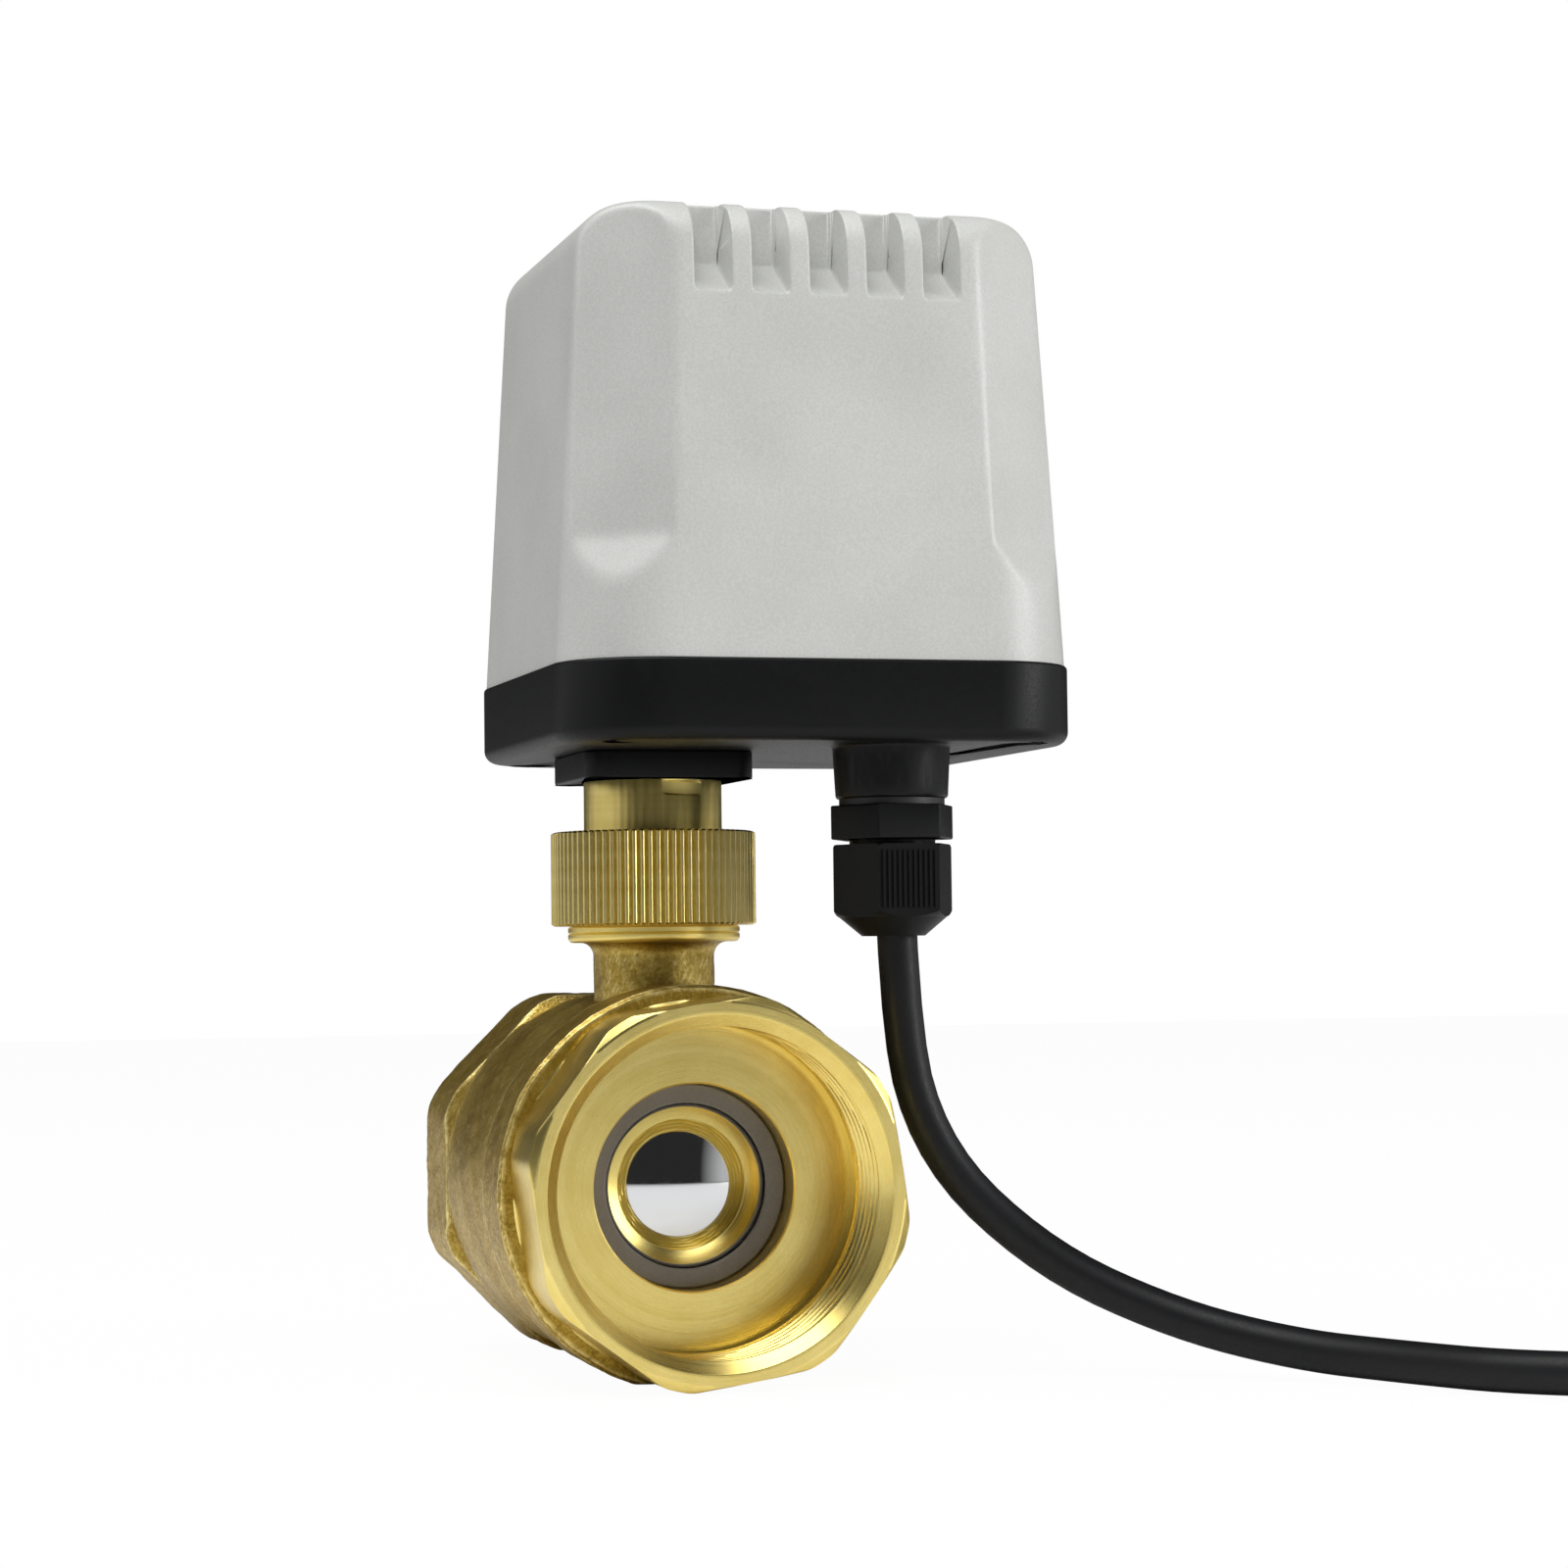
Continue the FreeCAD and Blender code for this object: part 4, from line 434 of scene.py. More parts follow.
def coilPoints():
    # control points of the flat coil: half turns that shrink by half the pitch, then a hook inwards
    look = cableLook
    last = Vector(look["route"][-1])
    start = Vector((*look["coilStart"], last.z))
    ahead = (start - last).normalized()
    aside = Vector((-ahead.y, ahead.x, 0))
    here = start + ahead * look["radius"] * 2
    points, perHalf = [start], look["pointsPerTurn"] // 2
    outside = 1 / math.cos(math.pi / perHalf / 2)      # the control polygon stands outside the arc
    for half in range(look["turns"] * 2):
        sign = 1 if half % 2 == 0 else -1
        radius = look["coilRadius"] - look["coilPitch"] / 2 * half
        middle = here + aside * sign * radius
        for step in range(perHalf):
            turn = math.pi * (step + 0.5) / perHalf
            way = (ahead * math.sin(turn) - aside * math.cos(turn)) * sign
            points.append(middle + way * radius * outside)
        here = here + aside * sign * 2 * radius
    hook, count = look["hook"], look["hookPoints"]
    reach = hook / math.cos(math.pi / 4 / count)
    for step in range(count):
        turn = math.pi / 2 * (step + 0.5) / count
        points.append(here + aside * hook + (ahead * math.sin(turn) - aside * math.cos(turn)) * reach)
    end = here + (ahead + aside) * hook
    points.append(end + aside * look["radius"] * 2)
    return points


def addCable():
    look = cableLook
    curve = bpy.data.curves.new("cable_line", "CURVE")
    curve.dimensions = "3D"
    spline = curve.splines.new("NURBS")
    points = [Vector(p) for p in look["route"]] + coilPoints()
    spline.points.add(len(points) - 1)
    spline.points.foreach_set("co", [c for p in points for c in (*(p * mm), 1.0)])
    spline.order_u = 3
    spline.use_endpoint_u = True
    spline.resolution_u = 6
    curve.bevel_depth = look["radius"] * mm
    curve.bevel_resolution = 5
    curve.use_fill_caps = True
    piece = bpy.data.objects.new("cableLine", curve)
    bpy.context.scene.collection.objects.link(piece)
    curve.materials.append(finishes["cable_rubber"])
    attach(piece, "root")
    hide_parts("cable", "cable_coil")


addCable()
print("camera and cable ready")


# metres; glow is the share of plain white that the camera sees in place of the lit paper
stageLook = {"half": 3.0, "under": 0.0002, "paper": "#F2F2F2", "rough": 0.9, "glow": 0.97}


def addStage():
    # a white table whose shadow stays faint to the camera
    table = bpy.data.meshes.new("table")
    half = stageLook["half"]
    corners = [(-half, -half, 0), (half, -half, 0), (half, half, 0), (-half, half, 0)]
    table.from_pydata(corners, [], [(0, 1, 2, 3)])
    piece = bpy.data.objects.new("table", table)
    bpy.context.scene.collection.objects.link(piece)
    material, tree, surface = newMaterial("tablePaper")
    surface.inputs["Base Color"].default_value = toLinear(stageLook["paper"])
    surface.inputs["Roughness"].default_value = stageLook["rough"]
    seen = addNode(tree, "ShaderNodeLightPath").outputs["Is Camera Ray"]
    share = addNode(tree, "ShaderNodeMath", {"operation": "MULTIPLY", 1: stageLook["glow"]}, {0: seen})
    glow = addNode(tree, "ShaderNodeEmission")
    mixed = addNode(tree, "ShaderNodeMixShader",
                    links={0: share.outputs[0], 1: surface.outputs[0], 2: glow.outputs[0]})
    output = next(node for node in tree.nodes if node.type == "OUTPUT_MATERIAL")
    tree.links.new(mixed.outputs[0], output.inputs["Surface"])
    table.materials.append(material)
    piece.location.z = -stageLook["under"]


# strengths, the degrees that the studio is turned to face the camera, and how far aside the boxes lie
worldLook = {"room": 0.24, "dim": 0.027, "boxes": 0.6, "boxEdge": (0.62, 0.85), "backdrop": 1.0,
             "turn": 16.43, "white": (1.0, 1.0, 1.0, 1.0)}


def addWorld():
    # The camera sees a white backdrop. Glossy rays meet a studio that is dim in front and behind, with a
    # broad soft box on either side, and the rest of the light is one even grey
    look = worldLook
    world = bpy.data.worlds.new("studio")
    bpy.context.scene.world = world
    world.use_nodes = True
    tree = world.node_tree
    tree.nodes.clear()
    rays = addNode(tree, "ShaderNodeLightPath")
    way = addNode(tree, "ShaderNodeTexCoord").outputs["Generated"]
    turn = math.radians(look["turn"])
    aside = addNode(tree, "ShaderNodeVectorMath", {"operation": "DOT_PRODUCT", 1: (
        math.cos(turn), -math.sin(turn), 0.0)}, {0: way}).outputs["Value"]
    far = addNode(tree, "ShaderNodeMath", {"operation": "ABSOLUTE"}, {0: aside}).outputs[0]
    boxes = spread(tree, far, look["dim"], look["boxes"], *look["boxEdge"])
    reflected = addNode(tree, "ShaderNodeMix", {"data_type": "FLOAT", "A": look["room"]},
                        {"Factor": rays.outputs["Is Glossy Ray"], "B": boxes}).outputs["Result"]
    strength = addNode(tree, "ShaderNodeMix", {"data_type": "FLOAT", "B": look["backdrop"]},
                       {"Factor": rays.outputs["Is Camera Ray"], "A": reflected}).outputs["Result"]
    light = addNode(tree, "ShaderNodeBackground", {"Color": look["white"]}, {"Strength": strength})
    output = addNode(tree, "ShaderNodeOutputWorld", links={"Surface": light.outputs[0]})
    output.is_active_output = True


# metres and watts
lampAim = (0.02, 0, 0.1)
lamps = {
    "skyBox": {"at": (-0.3, -0.2, 1.15), "size": (1.4, 0.8), "power": 15},
    "frontFill": {"at": (1.2, -0.8, 0.45), "size": (0.45, 0.8), "power": 9.5},
}


def addLamps():
    # soft boxes aimed at the middle of the object
    middle = Vector(lampAim)
    for name, look in lamps.items():
        lamp = bpy.data.lights.new(name, "AREA")
        lamp.shape = "RECTANGLE"
        lamp.size, lamp.size_y = look["size"]
        lamp.energy = look["power"]
        holder = bpy.data.objects.new(name, lamp)
        holder.location = look["at"]
        holder.rotation_euler = (middle - holder.location).to_track_quat("-Z", "Y").to_euler()
        bpy.context.scene.collection.objects.link(holder)


addStage()
addWorld()
addLamps()
bpy.context.scene.view_settings.view_transform = "Standard"
print("stage, world and lamps ready")


def markSharp(piece, degrees):
    # edges sharper than the angle aren't smoothed over, so that turned corners stay crisp
    mesh = piece.data
    count = len(mesh.edges)
    flags = np.zeros(count, bool)
    normals = np.empty(len(mesh.polygons) * 3)
    mesh.polygons.foreach_get("normal", normals)
    normals = normals.reshape(-1, 3)
    owners = [[] for _ in range(count)]
    loopEdges = np.empty(len(mesh.loops), np.int32)
    mesh.loops.foreach_get("edge_index", loopEdges)
    for number, polygon in enumerate(mesh.polygons):
        for loop in polygon.loop_indices:
            owners[loopEdges[loop]].append(number)
    limit = math.cos(math.radians(degrees))
    for edge, faces in enumerate(owners):
        if len(faces) == 2 and normals[faces[0]] @ normals[faces[1]] < limit:
            flags[edge] = True
    attribute = mesh.attributes.get("sharp_edge") or mesh.attributes.new("sharp_edge", "BOOLEAN", "EDGE")
    attribute.data.foreach_set("value", flags)


# the pale grey cover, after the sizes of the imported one; lengths in millimetres, angles in degrees
coverLook = {"left": -24.5, "right": 68.5, "half": 45.5, "corner": 17.5, "low": 124.5, "top": 205.0,
             "draft": 3.3, "edge": 8.0, "wall": 2.5, "lip": 0.7, "fillet": 0.6, "slotFillet": 1.0,
             "channelHalf": 9.2, "channelDeep": 3.4, "channelTurn": 54, "shelf": 146.0, "shelfSlope": 65,
             "slotHalf": 3.3, "slotPitch": 10.4, "slotMiddle": 22.0, "slotCount": 5, "slotLow": 188.4,
             "slotDeep": 8.8, "slotRise": 6.0, "shelfFillet": 0.5, "lidReach": 4.86, "plainStep": 1.1,
             "rayBack": -1.0, "rayIn": 15.0, "halvings": 16}


def softMax(a, b, blend):
    return -softMin(-a, -b, blend)


def coverBox(x, y, z, look):
    # distance to a rounded box whose walls lean in by the draft, its top edge a quarter round
    middle = (look["left"] + look["right"]) / 2
    lean = (z - look["low"]) * math.tan(math.radians(look["draft"]))
    across = np.abs(x - middle) - (look["right"] - look["left"]) / 2 + look["corner"]
    ahead = np.abs(y) - look["half"] + look["corner"]
    plan = np.hypot(np.maximum(across, 0), np.maximum(ahead, 0)) + np.minimum(np.maximum(across, ahead), 0)
    side, lid, edge = plan - look["corner"] + lean, z - look["top"], look["edge"]
    return (np.hypot(np.maximum(side + edge, 0), np.maximum(lid + edge, 0)) - edge
            + np.minimum(np.maximum(side, lid) + edge, 0))


def coverChannel(x, y, z, look, grow):
    # distance to the nearest corner's channel: a leaning back, two upright sides and a sloping shelf
    middle, turn = (look["left"] + look["right"]) / 2, math.radians(look["channelTurn"])
    fromX = np.abs(x - middle) - (look["right"] - look["left"]) / 2 + look["corner"]
    fromY = np.abs(y) - look["half"] + look["corner"]
    out = fromX * math.cos(turn) + fromY * math.sin(turn)
    sideways = fromX * math.sin(turn) - fromY * math.cos(turn)
    lean, slope = math.tan(math.radians(look["draft"])), math.radians(look["shelfSlope"])
    foot = look["corner"] - look["channelDeep"] - (look["shelf"] - look["low"]) * lean
    back = look["corner"] - look["channelDeep"] - (z - look["low"]) * lean - out
    shelf = (look["shelf"] - z - (out - foot) * math.tan(slope)) * math.cos(slope)
    sides = np.abs(sideways) - look["channelHalf"]
    return softMax(softMax(back, sides, look["fillet"]), shelf, look["shelfFillet"]) - grow


def coverSlots(x, y, z, look, grow):
    # distance to the nearest vent slot: two sides, an upright back and a floor that climbs inwards
    place = x - look["slotMiddle"]
    most = (look["slotCount"] - 1) // 2
    lane = np.clip(np.round(place / look["slotPitch"]), -most, most)
    sides = np.abs(place - lane * look["slotPitch"]) - look["slotHalf"]
    face = (look["top"] - look["low"]) * math.tan(math.radians(look["draft"])) - look["half"]
    back = y - face - look["slotDeep"]
    climb = look["slotRise"] / look["slotDeep"]
    floor = (look["slotLow"] + np.clip(y - face, 0, None) * climb - z) / math.hypot(1, climb)
    return softMax(softMax(sides, back, look["slotFillet"]), floor, look["slotFillet"]) - grow


def coverGap(points, look, wall=0.0):
    # the box less its channels and slots, all edges rounded; wall moves the surface inwards
    x, y, z = points[..., 0], points[..., 1], points[..., 2]
    gap = softMax(coverBox(x, y, z, look) + wall, -coverChannel(x, y, z, look, wall), look["lip"])
    return softMax(gap, -coverSlots(x, y, z, look, wall), look["lip"] * 0.8)


def coverColumns(look):
    # anchors and outward directions round the plan: dense where slot sides are, even round the corners
    halfX, halfY = (look["right"] - look["left"]) / 2 - look["corner"], look["half"] - look["corner"]
    middle = (look["left"] + look["right"]) / 2
    lanes = look["slotMiddle"] - middle + (np.arange(look["slotCount"]) - (look["slotCount"] - 1) / 2
                                           ) * look["slotPitch"]
    walls = (lanes[:, None] + np.array([-1, 1]) * look["slotHalf"]).ravel()
    nearWalls = (walls[:, None] + np.linspace(-1.0, 1.0, 11)).ravel()
    front = np.concatenate([np.arange(-halfX, halfX, look["plainStep"]), nearWalls])
    front = np.unique(np.round(front, 2))
    plain = np.linspace(-1, 1, 30, endpoint=False)
    arc = np.linspace(0, np.pi / 2, 50, endpoint=False)
    anchors, turns = [], []
    for quarter, (cx, cy) in enumerate(((1, -1), (1, 1), (-1, 1), (-1, -1))):
        along = (plain * halfY, plain * halfX, plain * halfY, front)[quarter]
        fixed = np.full(len(along), halfX if quarter % 2 == 0 else halfY)
        anchors.append(np.tile([cx * halfX, cy * halfY], (len(arc), 1)))
        turns.append(arc + np.pi / 2 * (quarter - 1))
        sideways = {0: (fixed, along), 1: (-along, fixed), 2: (-fixed, -along), 3: (along, -fixed)}[quarter]
        anchors.append(np.stack(sideways, 1))
        turns.append(np.full(len(along), np.pi / 2 * quarter))
    anchors, turns = np.vstack(anchors), np.concatenate(turns)
    return anchors, np.stack([np.cos(turns), np.sin(turns)], 1), middle


def coverRays(look, rows):
    # start points on the plain box and directions into it: up the wall, over the round, in along the lid
    anchors, out, middle = coverColumns(look)
    lean, edge = math.tan(math.radians(look["draft"])), look["edge"]
    starts, ways = [], []
    shoulder = look["top"] - edge
    for kind, value in rows:
        if kind == "wall":
            reach, z, turn, share = look["corner"] - (value - look["low"]) * lean, value, 0.0, 1.0
        elif kind == "round":
            turn, share = value, 1.0
            reach = look["corner"] - (look["top"] - look["low"]) * lean - edge + edge * math.cos(turn)
            z = shoulder + edge * math.sin(turn)
        else:
            reach, z, turn = max(value, 0.0), look["top"], math.pi / 2
            share = 1.0 + min(value, 0.0)
        flat = anchors * share + out * reach
        flat[:, 0] += middle
        starts.append(np.column_stack([flat, np.full(len(flat), z)]))
        ways.append(np.column_stack([-out * math.cos(turn), np.full(len(flat), -math.sin(turn))]))
    return np.array(starts), np.array(ways)


def coverSkin(look, rows, wall):
    # halves each ray's interval until the surface is found
    starts, ways = coverRays(look, rows)
    near, far = np.full(starts.shape[:2], look["rayBack"]), np.full(starts.shape[:2], look["rayIn"])
    for _ in range(look["halvings"]):
        half = (near + far) / 2
        outside = coverGap(starts + ways * half[..., None], look, wall) > 0
        near, far = np.where(outside, half, near), np.where(outside, far, half)
    return starts + ways * ((near + far) / 2)[..., None]


def coverRows(look):
    # heights close together where the shelf and the slots' feet are, angles over the round, and steps in
    # along the lid: millimetres out from the corner's centre, then shares of the way to the middle
    heights = np.concatenate([np.linspace(look["low"], 129, 6), np.linspace(129.6, 150, 34),
                              np.linspace(151.5, 185, 24), np.linspace(185.6, 191, 20),
                              np.linspace(191.6, look["top"] - look["edge"], 10)])
    over = np.linspace(0.05, math.pi / 2, 22)
    lid = np.concatenate([np.linspace(look["lidReach"] - 0.2, 2.4, 16), np.linspace(1.6, 0, 3),
                          -np.linspace(0.1, 1, 11)])
    parts = (("wall", heights), ("round", over), ("lid", lid))
    return [(part, value) for part, values in parts for value in values]


def addCover():
    look = coverLook
    rows = coverRows(look)
    outer = coverSkin(look, rows, 0.0)
    # the inside takes the lowest row and every sixth counted from the last, and is run through backwards
    inner = coverSkin(look, rows[:1] + rows[:0:-6][::-1], look["wall"])[::-1]
    points = np.concatenate([outer, inner]) * mm
    mesh = gridMesh("cover_skin", points)
    closePoles(mesh)
    piece = addPiece("coverShell", mesh, "root", "grey_plastic")
    markSharp(piece, degrees=50)
    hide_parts("cover")


addCover()
print("cover ready")


# the end cap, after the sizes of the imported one; radii and places before the ball's centre in millimetres
capLook = {"flats": 64.6, "turn": math.radians(8.5), "corner": 33.9, "front": 45.5, "joint": 29.0,
           "chamfer": 1.4, "thread": 28.33, "threadDeep": 1.25, "pitch": 2.309, "threadStart": 2.4,
           "mouth": 30.2, "mouthDeep": 1.9, "floor": 27.0, "seat": 18.0, "spigot": 30.6, "end": 14.2,
           "shelf": 18.0, "throat": 21.1, "round": 0.35, "wobble": 0.05, "columns": 384, "blend": 0.5,
           "wrenchRuns": (1, 3), "threadRun": 14}


def endCapPoints():
    # A closed profile of (radius, place) turned about the port axis. Outside, the octagon and the chamfered
    # round are blended by their lower radius, and inside the thread is a helix of V grooves. Steps are the
    # distances between rows on each run, and Y is -place
    look = capLook
    edge, bevel = look["round"], look["chamfer"] * math.tan(math.radians(30))
    front, joint, floor, end = look["front"], look["joint"], look["floor"], look["end"]
    corner, spigot, thread, seat = look["corner"], look["spigot"], look["thread"], look["seat"]
    corners = [
        (look["mouth"] + edge, front), (corner - look["chamfer"], front), (corner, front - bevel),
        (corner, joint + 1.2), (corner - 1.2, joint), (spigot, joint), (spigot, end + 1), (spigot - 1, end),
        (look["throat"], end), (look["throat"], look["shelf"]), (seat, look["shelf"]), (seat, floor - 0.3),
        (seat + 0.3, floor), (thread, floor), (thread, floor + look["threadStart"]),
        (thread, front - look["mouthDeep"]), (look["mouth"], front - 0.15),
        (look["mouth"] + 0.15, front - 0.02)]
    steps = [0.4, 0.25, 1.2, 0.3, 1.0, 3.0, 1.0, 3.0, 1.0, 1.2, 3.0, 0.3, 0.9, 1.2, 0.19, 0.2, 0.2, 0.2]
    rows = alongProfile(corners, steps)
    angle = np.arange(look["columns"]) * 2 * np.pi / look["columns"]
    radius = np.repeat(rows[:, :1], len(angle), 1)
    place, run = rows[:, 1:2], rows[:, 2:3]
    flats = octagonRadius(angle, look["flats"], look["turn"])[None, :]
    worn = seededWobble(len(angle), seed=5, waves=40, size=look["wobble"])[None, :]
    wrench = inRuns(run, look["wrenchRuns"])
    radius = np.where(wrench, softMin(radius, flats + worn, look["blend"]), radius)
    bored = (run == look["threadRun"]) & (place < front - look["mouthDeep"] + 0.01)
    cut = threadDepth(angle[None, :], place - floor, look["threadStart"], look["threadDeep"], look["pitch"])
    runOut = np.clip((front - look["mouthDeep"] - place) / look["pitch"], 0.35, 1)
    radius = np.where(bored, radius + cut * runOut, radius)
    x, z = radius * np.cos(angle), radius * np.sin(angle)
    return np.stack([x, np.broadcast_to(-place, x.shape), z + axisZ / mm], -1) * mm


def addEndCap():
    cap = addPiece("endCap", gridMesh("end_cap_skin", endCapPoints()), "root", "turned_brass",
                   "turned_brass_port")
    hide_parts("end_cap")
    markSharp(cap, degrees=32)


addEndCap()
print("end cap ready")


# the cast body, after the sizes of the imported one; lengths in millimetres along and round the port axis
bodyLook = {"joint": -29.0, "collar": 35.2, "collarBack": -14.0, "belly": 33.9, "octagon": 27.0, "rear": 47.0,
            "flats": 66.8, "corner": 35.2, "chamfer": 2.2, "thread": 28.33, "threadDeep": 1.25,
            "pitch": 2.309, "threadStart": 2.4, "mouth": 30.0, "mouthDeep": 1.7, "portDeep": 18.5,
            "waterway": 14.5, "seatBack": 22.6, "seat": 21.1, "seatFront": 15.5, "chamber": 26.0,
            "chamberFront": -12.6, "bore": 30.7, "wobble": 0.06, "columns": 360, "blend": 0.6,
            "lump": 0.09, "sand": 0.018, "castRuns": (1, 12), "wrenchRuns": (10, 13), "threadRun": 16}


def castRelief(points, look):
    # the mould's unevenness as a height: broad lumps and fine sand, sums of crossed waves in all three axes
    rng = np.random.default_rng(11)
    height = np.zeros(points.shape[:-1])
    lump, sand = look["lump"], look["sand"]
    for size, amount in ((9.0, lump), (4.0, lump * 0.6), (1.1, sand), (0.7, sand)):
        for _ in range(7):
            way = rng.normal(size=3)
            way *= 2 * np.pi / size / np.linalg.norm(way) * rng.uniform(0.7, 1.4)
            height += amount / 3 * np.sin(points @ way + rng.uniform(0, 2 * np.pi))
    return height


def bodyPoints():
    # a closed profile turned about the port axis, its rear end blended with an octagon, thread and steps as
    # in the cap; place is the distance along Y
    look = bodyLook
    joint, rear, back, bevel = look["joint"], look["rear"], look["collarBack"], look["chamfer"] / 2
    floor, octagon = rear - look["portDeep"], look["octagon"]
    collar, belly, corner, thread = look["collar"], look["belly"], look["corner"], look["thread"]
    corners = [
        (look["bore"], joint), (collar - 0.5, joint), (collar + 0.1, joint + 0.7),
        (collar - 0.1, joint + 1.4), (collar, back - 1.2), (belly - 0.4, back + 1.6), (belly, back + 6),
        (belly + 0.4, 6), (belly, octagon - 4), (belly - 0.6, octagon - 1.6), (corner - 1.6, octagon),
        (corner, octagon + bevel), (corner, rear - bevel), (corner - look["chamfer"], rear),
        (look["mouth"] + 0.3, rear), (look["mouth"], rear - 0.2), (thread, rear - look["mouthDeep"]),
        (thread, floor + look["threadStart"]), (thread, floor), (look["waterway"], floor),
        (look["waterway"], look["seatBack"]), (look["seat"], look["seatBack"]),
        (look["seat"], look["seatFront"]), (look["chamber"], look["seatFront"]),
        (look["chamber"], look["chamberFront"]), (look["bore"], look["chamberFront"])]
    steps = [0.8, 0.25, 0.25, 0.8, 0.35, 0.8, 0.8, 0.8, 0.4, 0.3, 0.3, 0.8, 0.3, 0.8, 0.2, 0.3, 0.19, 0.9,
             2.5, 3.0, 2.0, 2.0, 2.0, 6.0, 2.0, 6.0]
    rows = alongProfile(corners, steps)
    angle = np.arange(look["columns"]) * 2 * np.pi / look["columns"]
    radius = np.repeat(rows[:, :1], len(angle), 1)
    place, run = rows[:, 1:2], rows[:, 2:3]
    flats = octagonRadius(angle, look["flats"], math.pi / 4)[None, :]
    flats = flats + seededWobble(len(angle), seed=8, waves=30, size=look["wobble"])
    wrench = inRuns(run, look["wrenchRuns"])
    radius = np.where(wrench, softMin(radius, flats, look["blend"]), radius)
    threaded = run == look["threadRun"]
    inwards = rear - look["mouthDeep"] - place
    cut = threadDepth(angle[None, :], inwards, 0.0, look["threadDeep"], look["pitch"])
    radius = np.where(threaded, radius + cut, radius)
    along = np.broadcast_to(place, radius.shape)
    shape = np.stack([radius * np.cos(angle), along, radius * np.sin(angle)], -1)
    cast = np.where(inRuns(run, look["castRuns"]), 1.0, 0.0)
    shape[..., [0, 2]] *= (1 + cast * castRelief(shape, look) / radius)[..., None]
    # nothing reaches below the table
    shape[..., 2] = np.maximum(shape[..., 2] + axisZ / mm, 0.0)
    return shape


# the stem's neck on top of the body, cast with a flare into the belly, and the turned rim and spigot above it
neckLook = {"foot": 56.0, "footRadius": 21.0, "flareLow": 61.5, "flare": 66.2, "radius": 10.95,
            "fillet": 2.4, "rimLow": 76.3, "rim": 15.6, "rimTop": 79.2, "rimRound": 0.9, "groove": 77.9,
            "grooveDeep": 0.25, "spigot": 14.4, "spigotTop": 90.0, "bore": 6.1, "columns": 160,
            "neckStep": 0.7, "rimStep": 1.5}


def neckPoints():
    # rows x columns: the flare, the neck and the fillet under the rim, with the mould's unevenness
    look = neckLook
    turn = np.linspace(0, np.pi / 2, 9)[1:-1]
    flare, radius = look["flare"] - look["flareLow"], look["radius"]
    fillet, rimLow = look["fillet"], look["rimLow"]
    cove = [(radius + flare * (1 - math.sin(a)), look["flare"] - flare * math.cos(a)) for a in turn]
    under = [(radius + fillet * (1 - math.cos(a)), rimLow - fillet * (1 - math.sin(a))) for a in turn]
    corners = [(look["bore"], look["foot"]), (look["footRadius"], look["foot"]),
               (radius + flare, look["flareLow"]), *cove, (radius, look["flare"]), (radius, rimLow - fillet),
               *under, (radius + fillet, rimLow), (radius + fillet, rimLow + 1), (look["bore"], rimLow + 1)]
    rows = alongProfile(corners, [look["neckStep"]])
    angle = np.arange(look["columns"]) * 2 * np.pi / look["columns"]
    reach, place = rows[:, :1], np.repeat(rows[:, 1:2], len(angle), 1)
    shape = np.stack([reach * np.cos(angle), reach * np.sin(angle), place], -1)
    cast = (reach > look["bore"] + 0.1) & (place < rimLow)
    shape[..., :2] *= (1 + np.where(cast, castRelief(shape, bodyLook), 0) / reach)[..., None]
    return shape


def rimPoints():
    # rows x columns: the rim the nut sits on, its lower edge rounded over a fine groove, and the plain spigot
    look = neckLook
    rim, edge, rimLow = look["rim"], look["rimRound"], look["rimLow"]
    groove, deep = look["groove"], look["grooveDeep"]
    turn = np.linspace(0, np.pi / 2, 7)
    rounding = [(rim - edge + edge * math.sin(a), rimLow + edge - edge * math.cos(a)) for a in turn]
    corners = [(look["bore"], rimLow), *rounding, (rim, groove - deep), (rim - deep, groove),
               (rim, groove + deep), (rim, look["rimTop"] - 0.3), (rim - 0.3, look["rimTop"]),
               (look["spigot"], look["rimTop"]), (look["spigot"], look["spigotTop"] - 1),
               (look["spigot"] - 1, look["spigotTop"]), (look["bore"], look["spigotTop"])]
    rows = alongProfile(corners, [look["rimStep"]])
    angle = np.arange(look["columns"]) * 2 * np.pi / look["columns"]
    reach, place = rows[:, :1], np.repeat(rows[:, 1:2], len(angle), 1)
    return np.stack([reach * np.cos(angle), reach * np.sin(angle), place], -1)


highlightFrom, highlightOver = 0.15, 0.7      # bend per millimetre where the painted edge highlight begins, and how much more makes it full


def edgeHighlightOf(mesh, points):
    # how sharply the skin bends outwards along and across the grid, 0 to 1: the mask of a highlight painted
    # onto convex edges
    normals = np.empty(len(mesh.vertices) * 3)
    mesh.vertex_normals.foreach_get("vector", normals)
    normals = normals.reshape(points.shape)
    total = np.zeros(points.shape[:2])
    for axis in (0, 1):
        after, before = np.roll(points, -1, axis) - points, np.roll(points, 1, axis) - points
        longAfter = np.maximum(np.linalg.norm(after, axis=-1, keepdims=True), 1e-6)
        longBefore = np.maximum(np.linalg.norm(before, axis=-1, keepdims=True), 1e-6)
        bend = 2 * (after / longAfter + before / longBefore) / (longAfter + longBefore)
        total += np.maximum(-(bend * normals).sum(-1), 0)
    return np.clip((total - highlightFrom) / highlightOver, 0, 1)


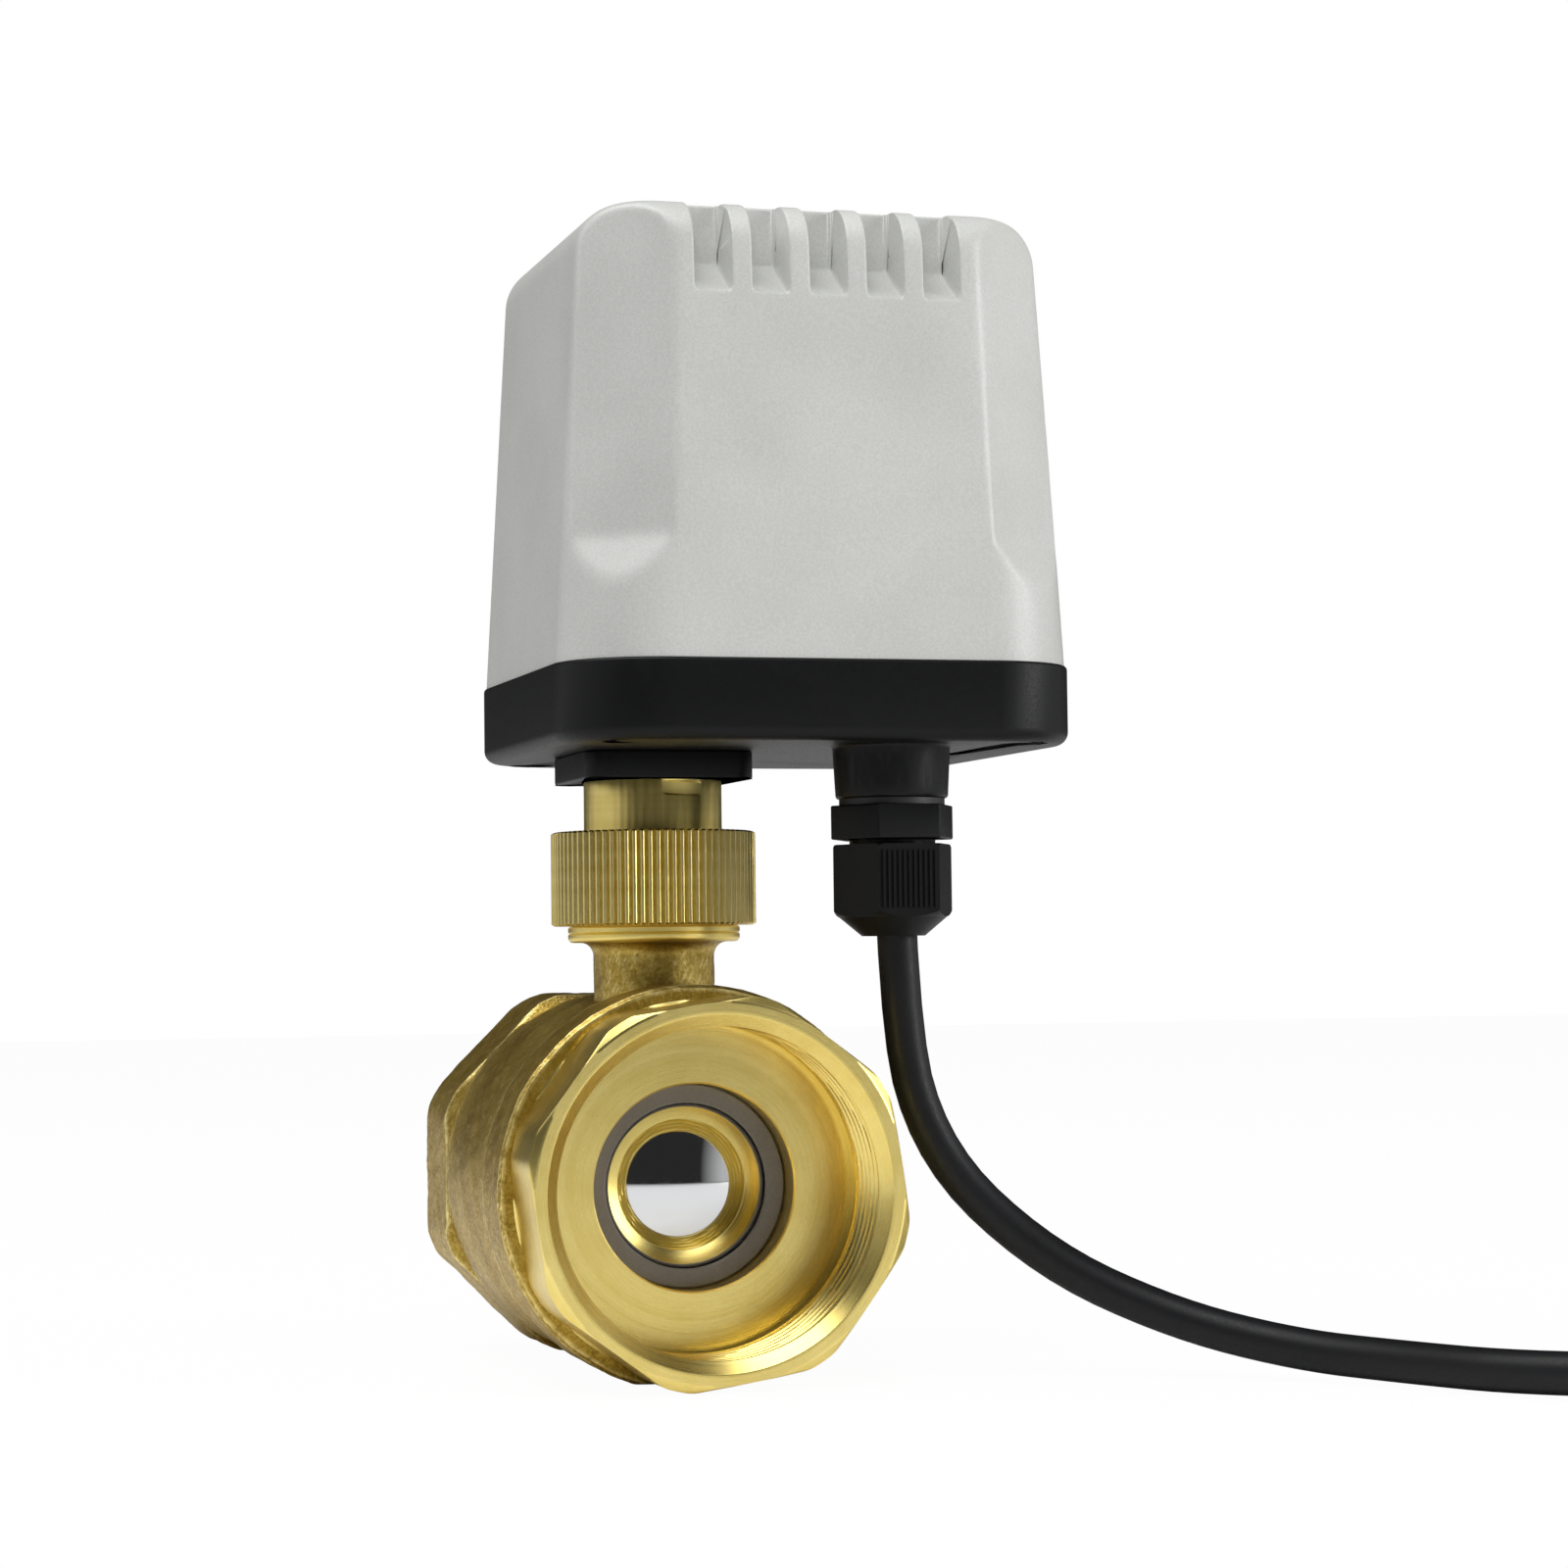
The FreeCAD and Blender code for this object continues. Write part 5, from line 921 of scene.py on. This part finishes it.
def cutStemBore(piece, radius, low, high):
    # an upright round hole on the stem axis through the piece's wall, its cutter a prism of 64 sides
    work, cutterMesh = bmesh.new(), bpy.data.meshes.new("stem_bore")
    bmesh.ops.create_cone(work, cap_ends=True, segments=64, radius1=radius * mm, radius2=radius * mm,
                          depth=(high - low) * mm, matrix=Matrix.Translation((0, 0, (high + low) / 2 * mm)))
    work.to_mesh(cutterMesh)
    work.free()
    cutter = bpy.data.objects.new("stem_bore", cutterMesh)
    bpy.context.scene.collection.objects.link(cutter)
    cut = piece.modifiers.new("stemBore", "BOOLEAN")
    cut.operation, cut.object, cut.solver = "DIFFERENCE", cutter, "EXACT"
    bored = piece.evaluated_get(bpy.context.evaluated_depsgraph_get())
    mesh = bpy.data.meshes.new_from_object(bored)
    piece.modifiers.clear()
    piece.data = mesh
    bpy.data.objects.remove(cutter)


def addCasting():
    for name, points in (("bodyCasting", bodyPoints()), ("neckCasting", neckPoints())):
        mesh = gridMesh(name, points * mm)
        piece = addPiece(name, mesh, "root", "cast_brass")
        # the mask of a highlight painted onto convex edges, read by the cast brass material
        edgeHighlight = mesh.attributes.new("edgeHighlight", "FLOAT", "POINT")
        edgeHighlight.data.foreach_set("value", edgeHighlightOf(mesh, points).ravel())
        markSharp(piece, degrees=40)
        if name == "bodyCasting":
            cutStemBore(piece, neckLook["bore"], axisZ / mm, neckLook["flare"])
        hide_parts("valve_body")
    rimMesh = gridMesh("rim_skin", rimPoints() * mm)
    rim = addPiece("rimTurned", rimMesh, "root", "cast_brass", "turned_brass")
    markSharp(rim, degrees=30)
    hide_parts("valve_body")


addCasting()
print("casting ready")


# the union nut, in millimetres: a straight knurl of V grooves; land is the flat share of its pitch
nutLook = {"low": 79.3, "top": 96.3, "radius": 18.6, "flutes": 80, "deep": 0.65, "land": 0.3, "perFlute": 10,
           "edge": 0.35, "bore": 14.7, "lip": 93.6, "lipBore": 12.85, "knurlRuns": (2, 5), "step": 4.0}


def addNut():
    look = nutLook
    reach, edge, low, top = look["radius"], look["edge"], look["low"], look["top"]
    corners = [(look["bore"], low), (reach - edge * 2, low), (reach - edge, low + edge * 0.3),
               (reach, low + edge), (reach, top - edge), (reach - edge, top - edge * 0.3),
               (reach - edge * 2, top), (look["lipBore"], top), (look["lipBore"], look["lip"]),
               (look["bore"], look["lip"])]
    rows = alongProfile(corners, [look["step"]])
    count = look["flutes"] * look["perFlute"]
    angle = np.arange(count) * 2 * np.pi / count
    fromLand = np.abs(angle * look["flutes"] / np.pi % 2 - 1)
    valley = np.clip((fromLand - look["land"]) / (1 - look["land"]), 0, 1)
    knurled = inRuns(rows[:, 2:3], look["knurlRuns"])
    radius = rows[:, :1] - np.where(knurled, look["deep"] * valley, 0)
    height = np.broadcast_to(rows[:, 1:2], radius.shape)
    points = np.stack([radius * np.cos(angle), radius * np.sin(angle), height], -1)
    piece = addPiece("nutKnurled", gridMesh("nut_skin", points * mm), bodyOf["union_nut"], "turned_brass",
                     "turned_brass_nut")
    markSharp(piece, degrees=35)
    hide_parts("union_nut")


addNut()
print("nut ready")


# the front seat, in millimetres: its own face lies deep in the cap's bore, a flat ring just clear of the ball
seatLook = {"outer": 17.9, "face": 21.3, "inner": 14.5, "lip": 14.9, "shoulder": 17.9, "flange": 21.0,
            "back": 15.5, "ball": 25.25, "meetsTo": 19.9, "columns": 160, "step": 0.6}


def addSeat():
    look = seatLook
    inner, outer, face = look["inner"], look["outer"], look["face"]
    reaches = np.linspace(inner, look["meetsTo"], 8)
    meets = [(reach, math.sqrt(look["ball"] ** 2 - reach ** 2)) for reach in reaches]
    corners = [(look["flange"], look["back"]), (look["flange"], look["shoulder"]), (outer, look["shoulder"]),
               (outer, face - 0.3), (outer - 0.3, face), (look["lip"], face), (inner, face - 0.3), *meets]
    rows = alongProfile(corners, [look["step"]])
    angle = np.arange(look["columns"]) * 2 * np.pi / look["columns"]
    x, z = rows[:, :1] * np.cos(angle), rows[:, :1] * np.sin(angle)
    points = np.stack([x, np.broadcast_to(-rows[:, 1:2], x.shape), z + axisZ / mm], -1)
    piece = addPiece("seatRing", gridMesh("seat_ring", points * mm), "root", "seat_ptfe")
    markSharp(piece, degrees=30)
    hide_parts("seat_front")


addSeat()
print("seat ready")
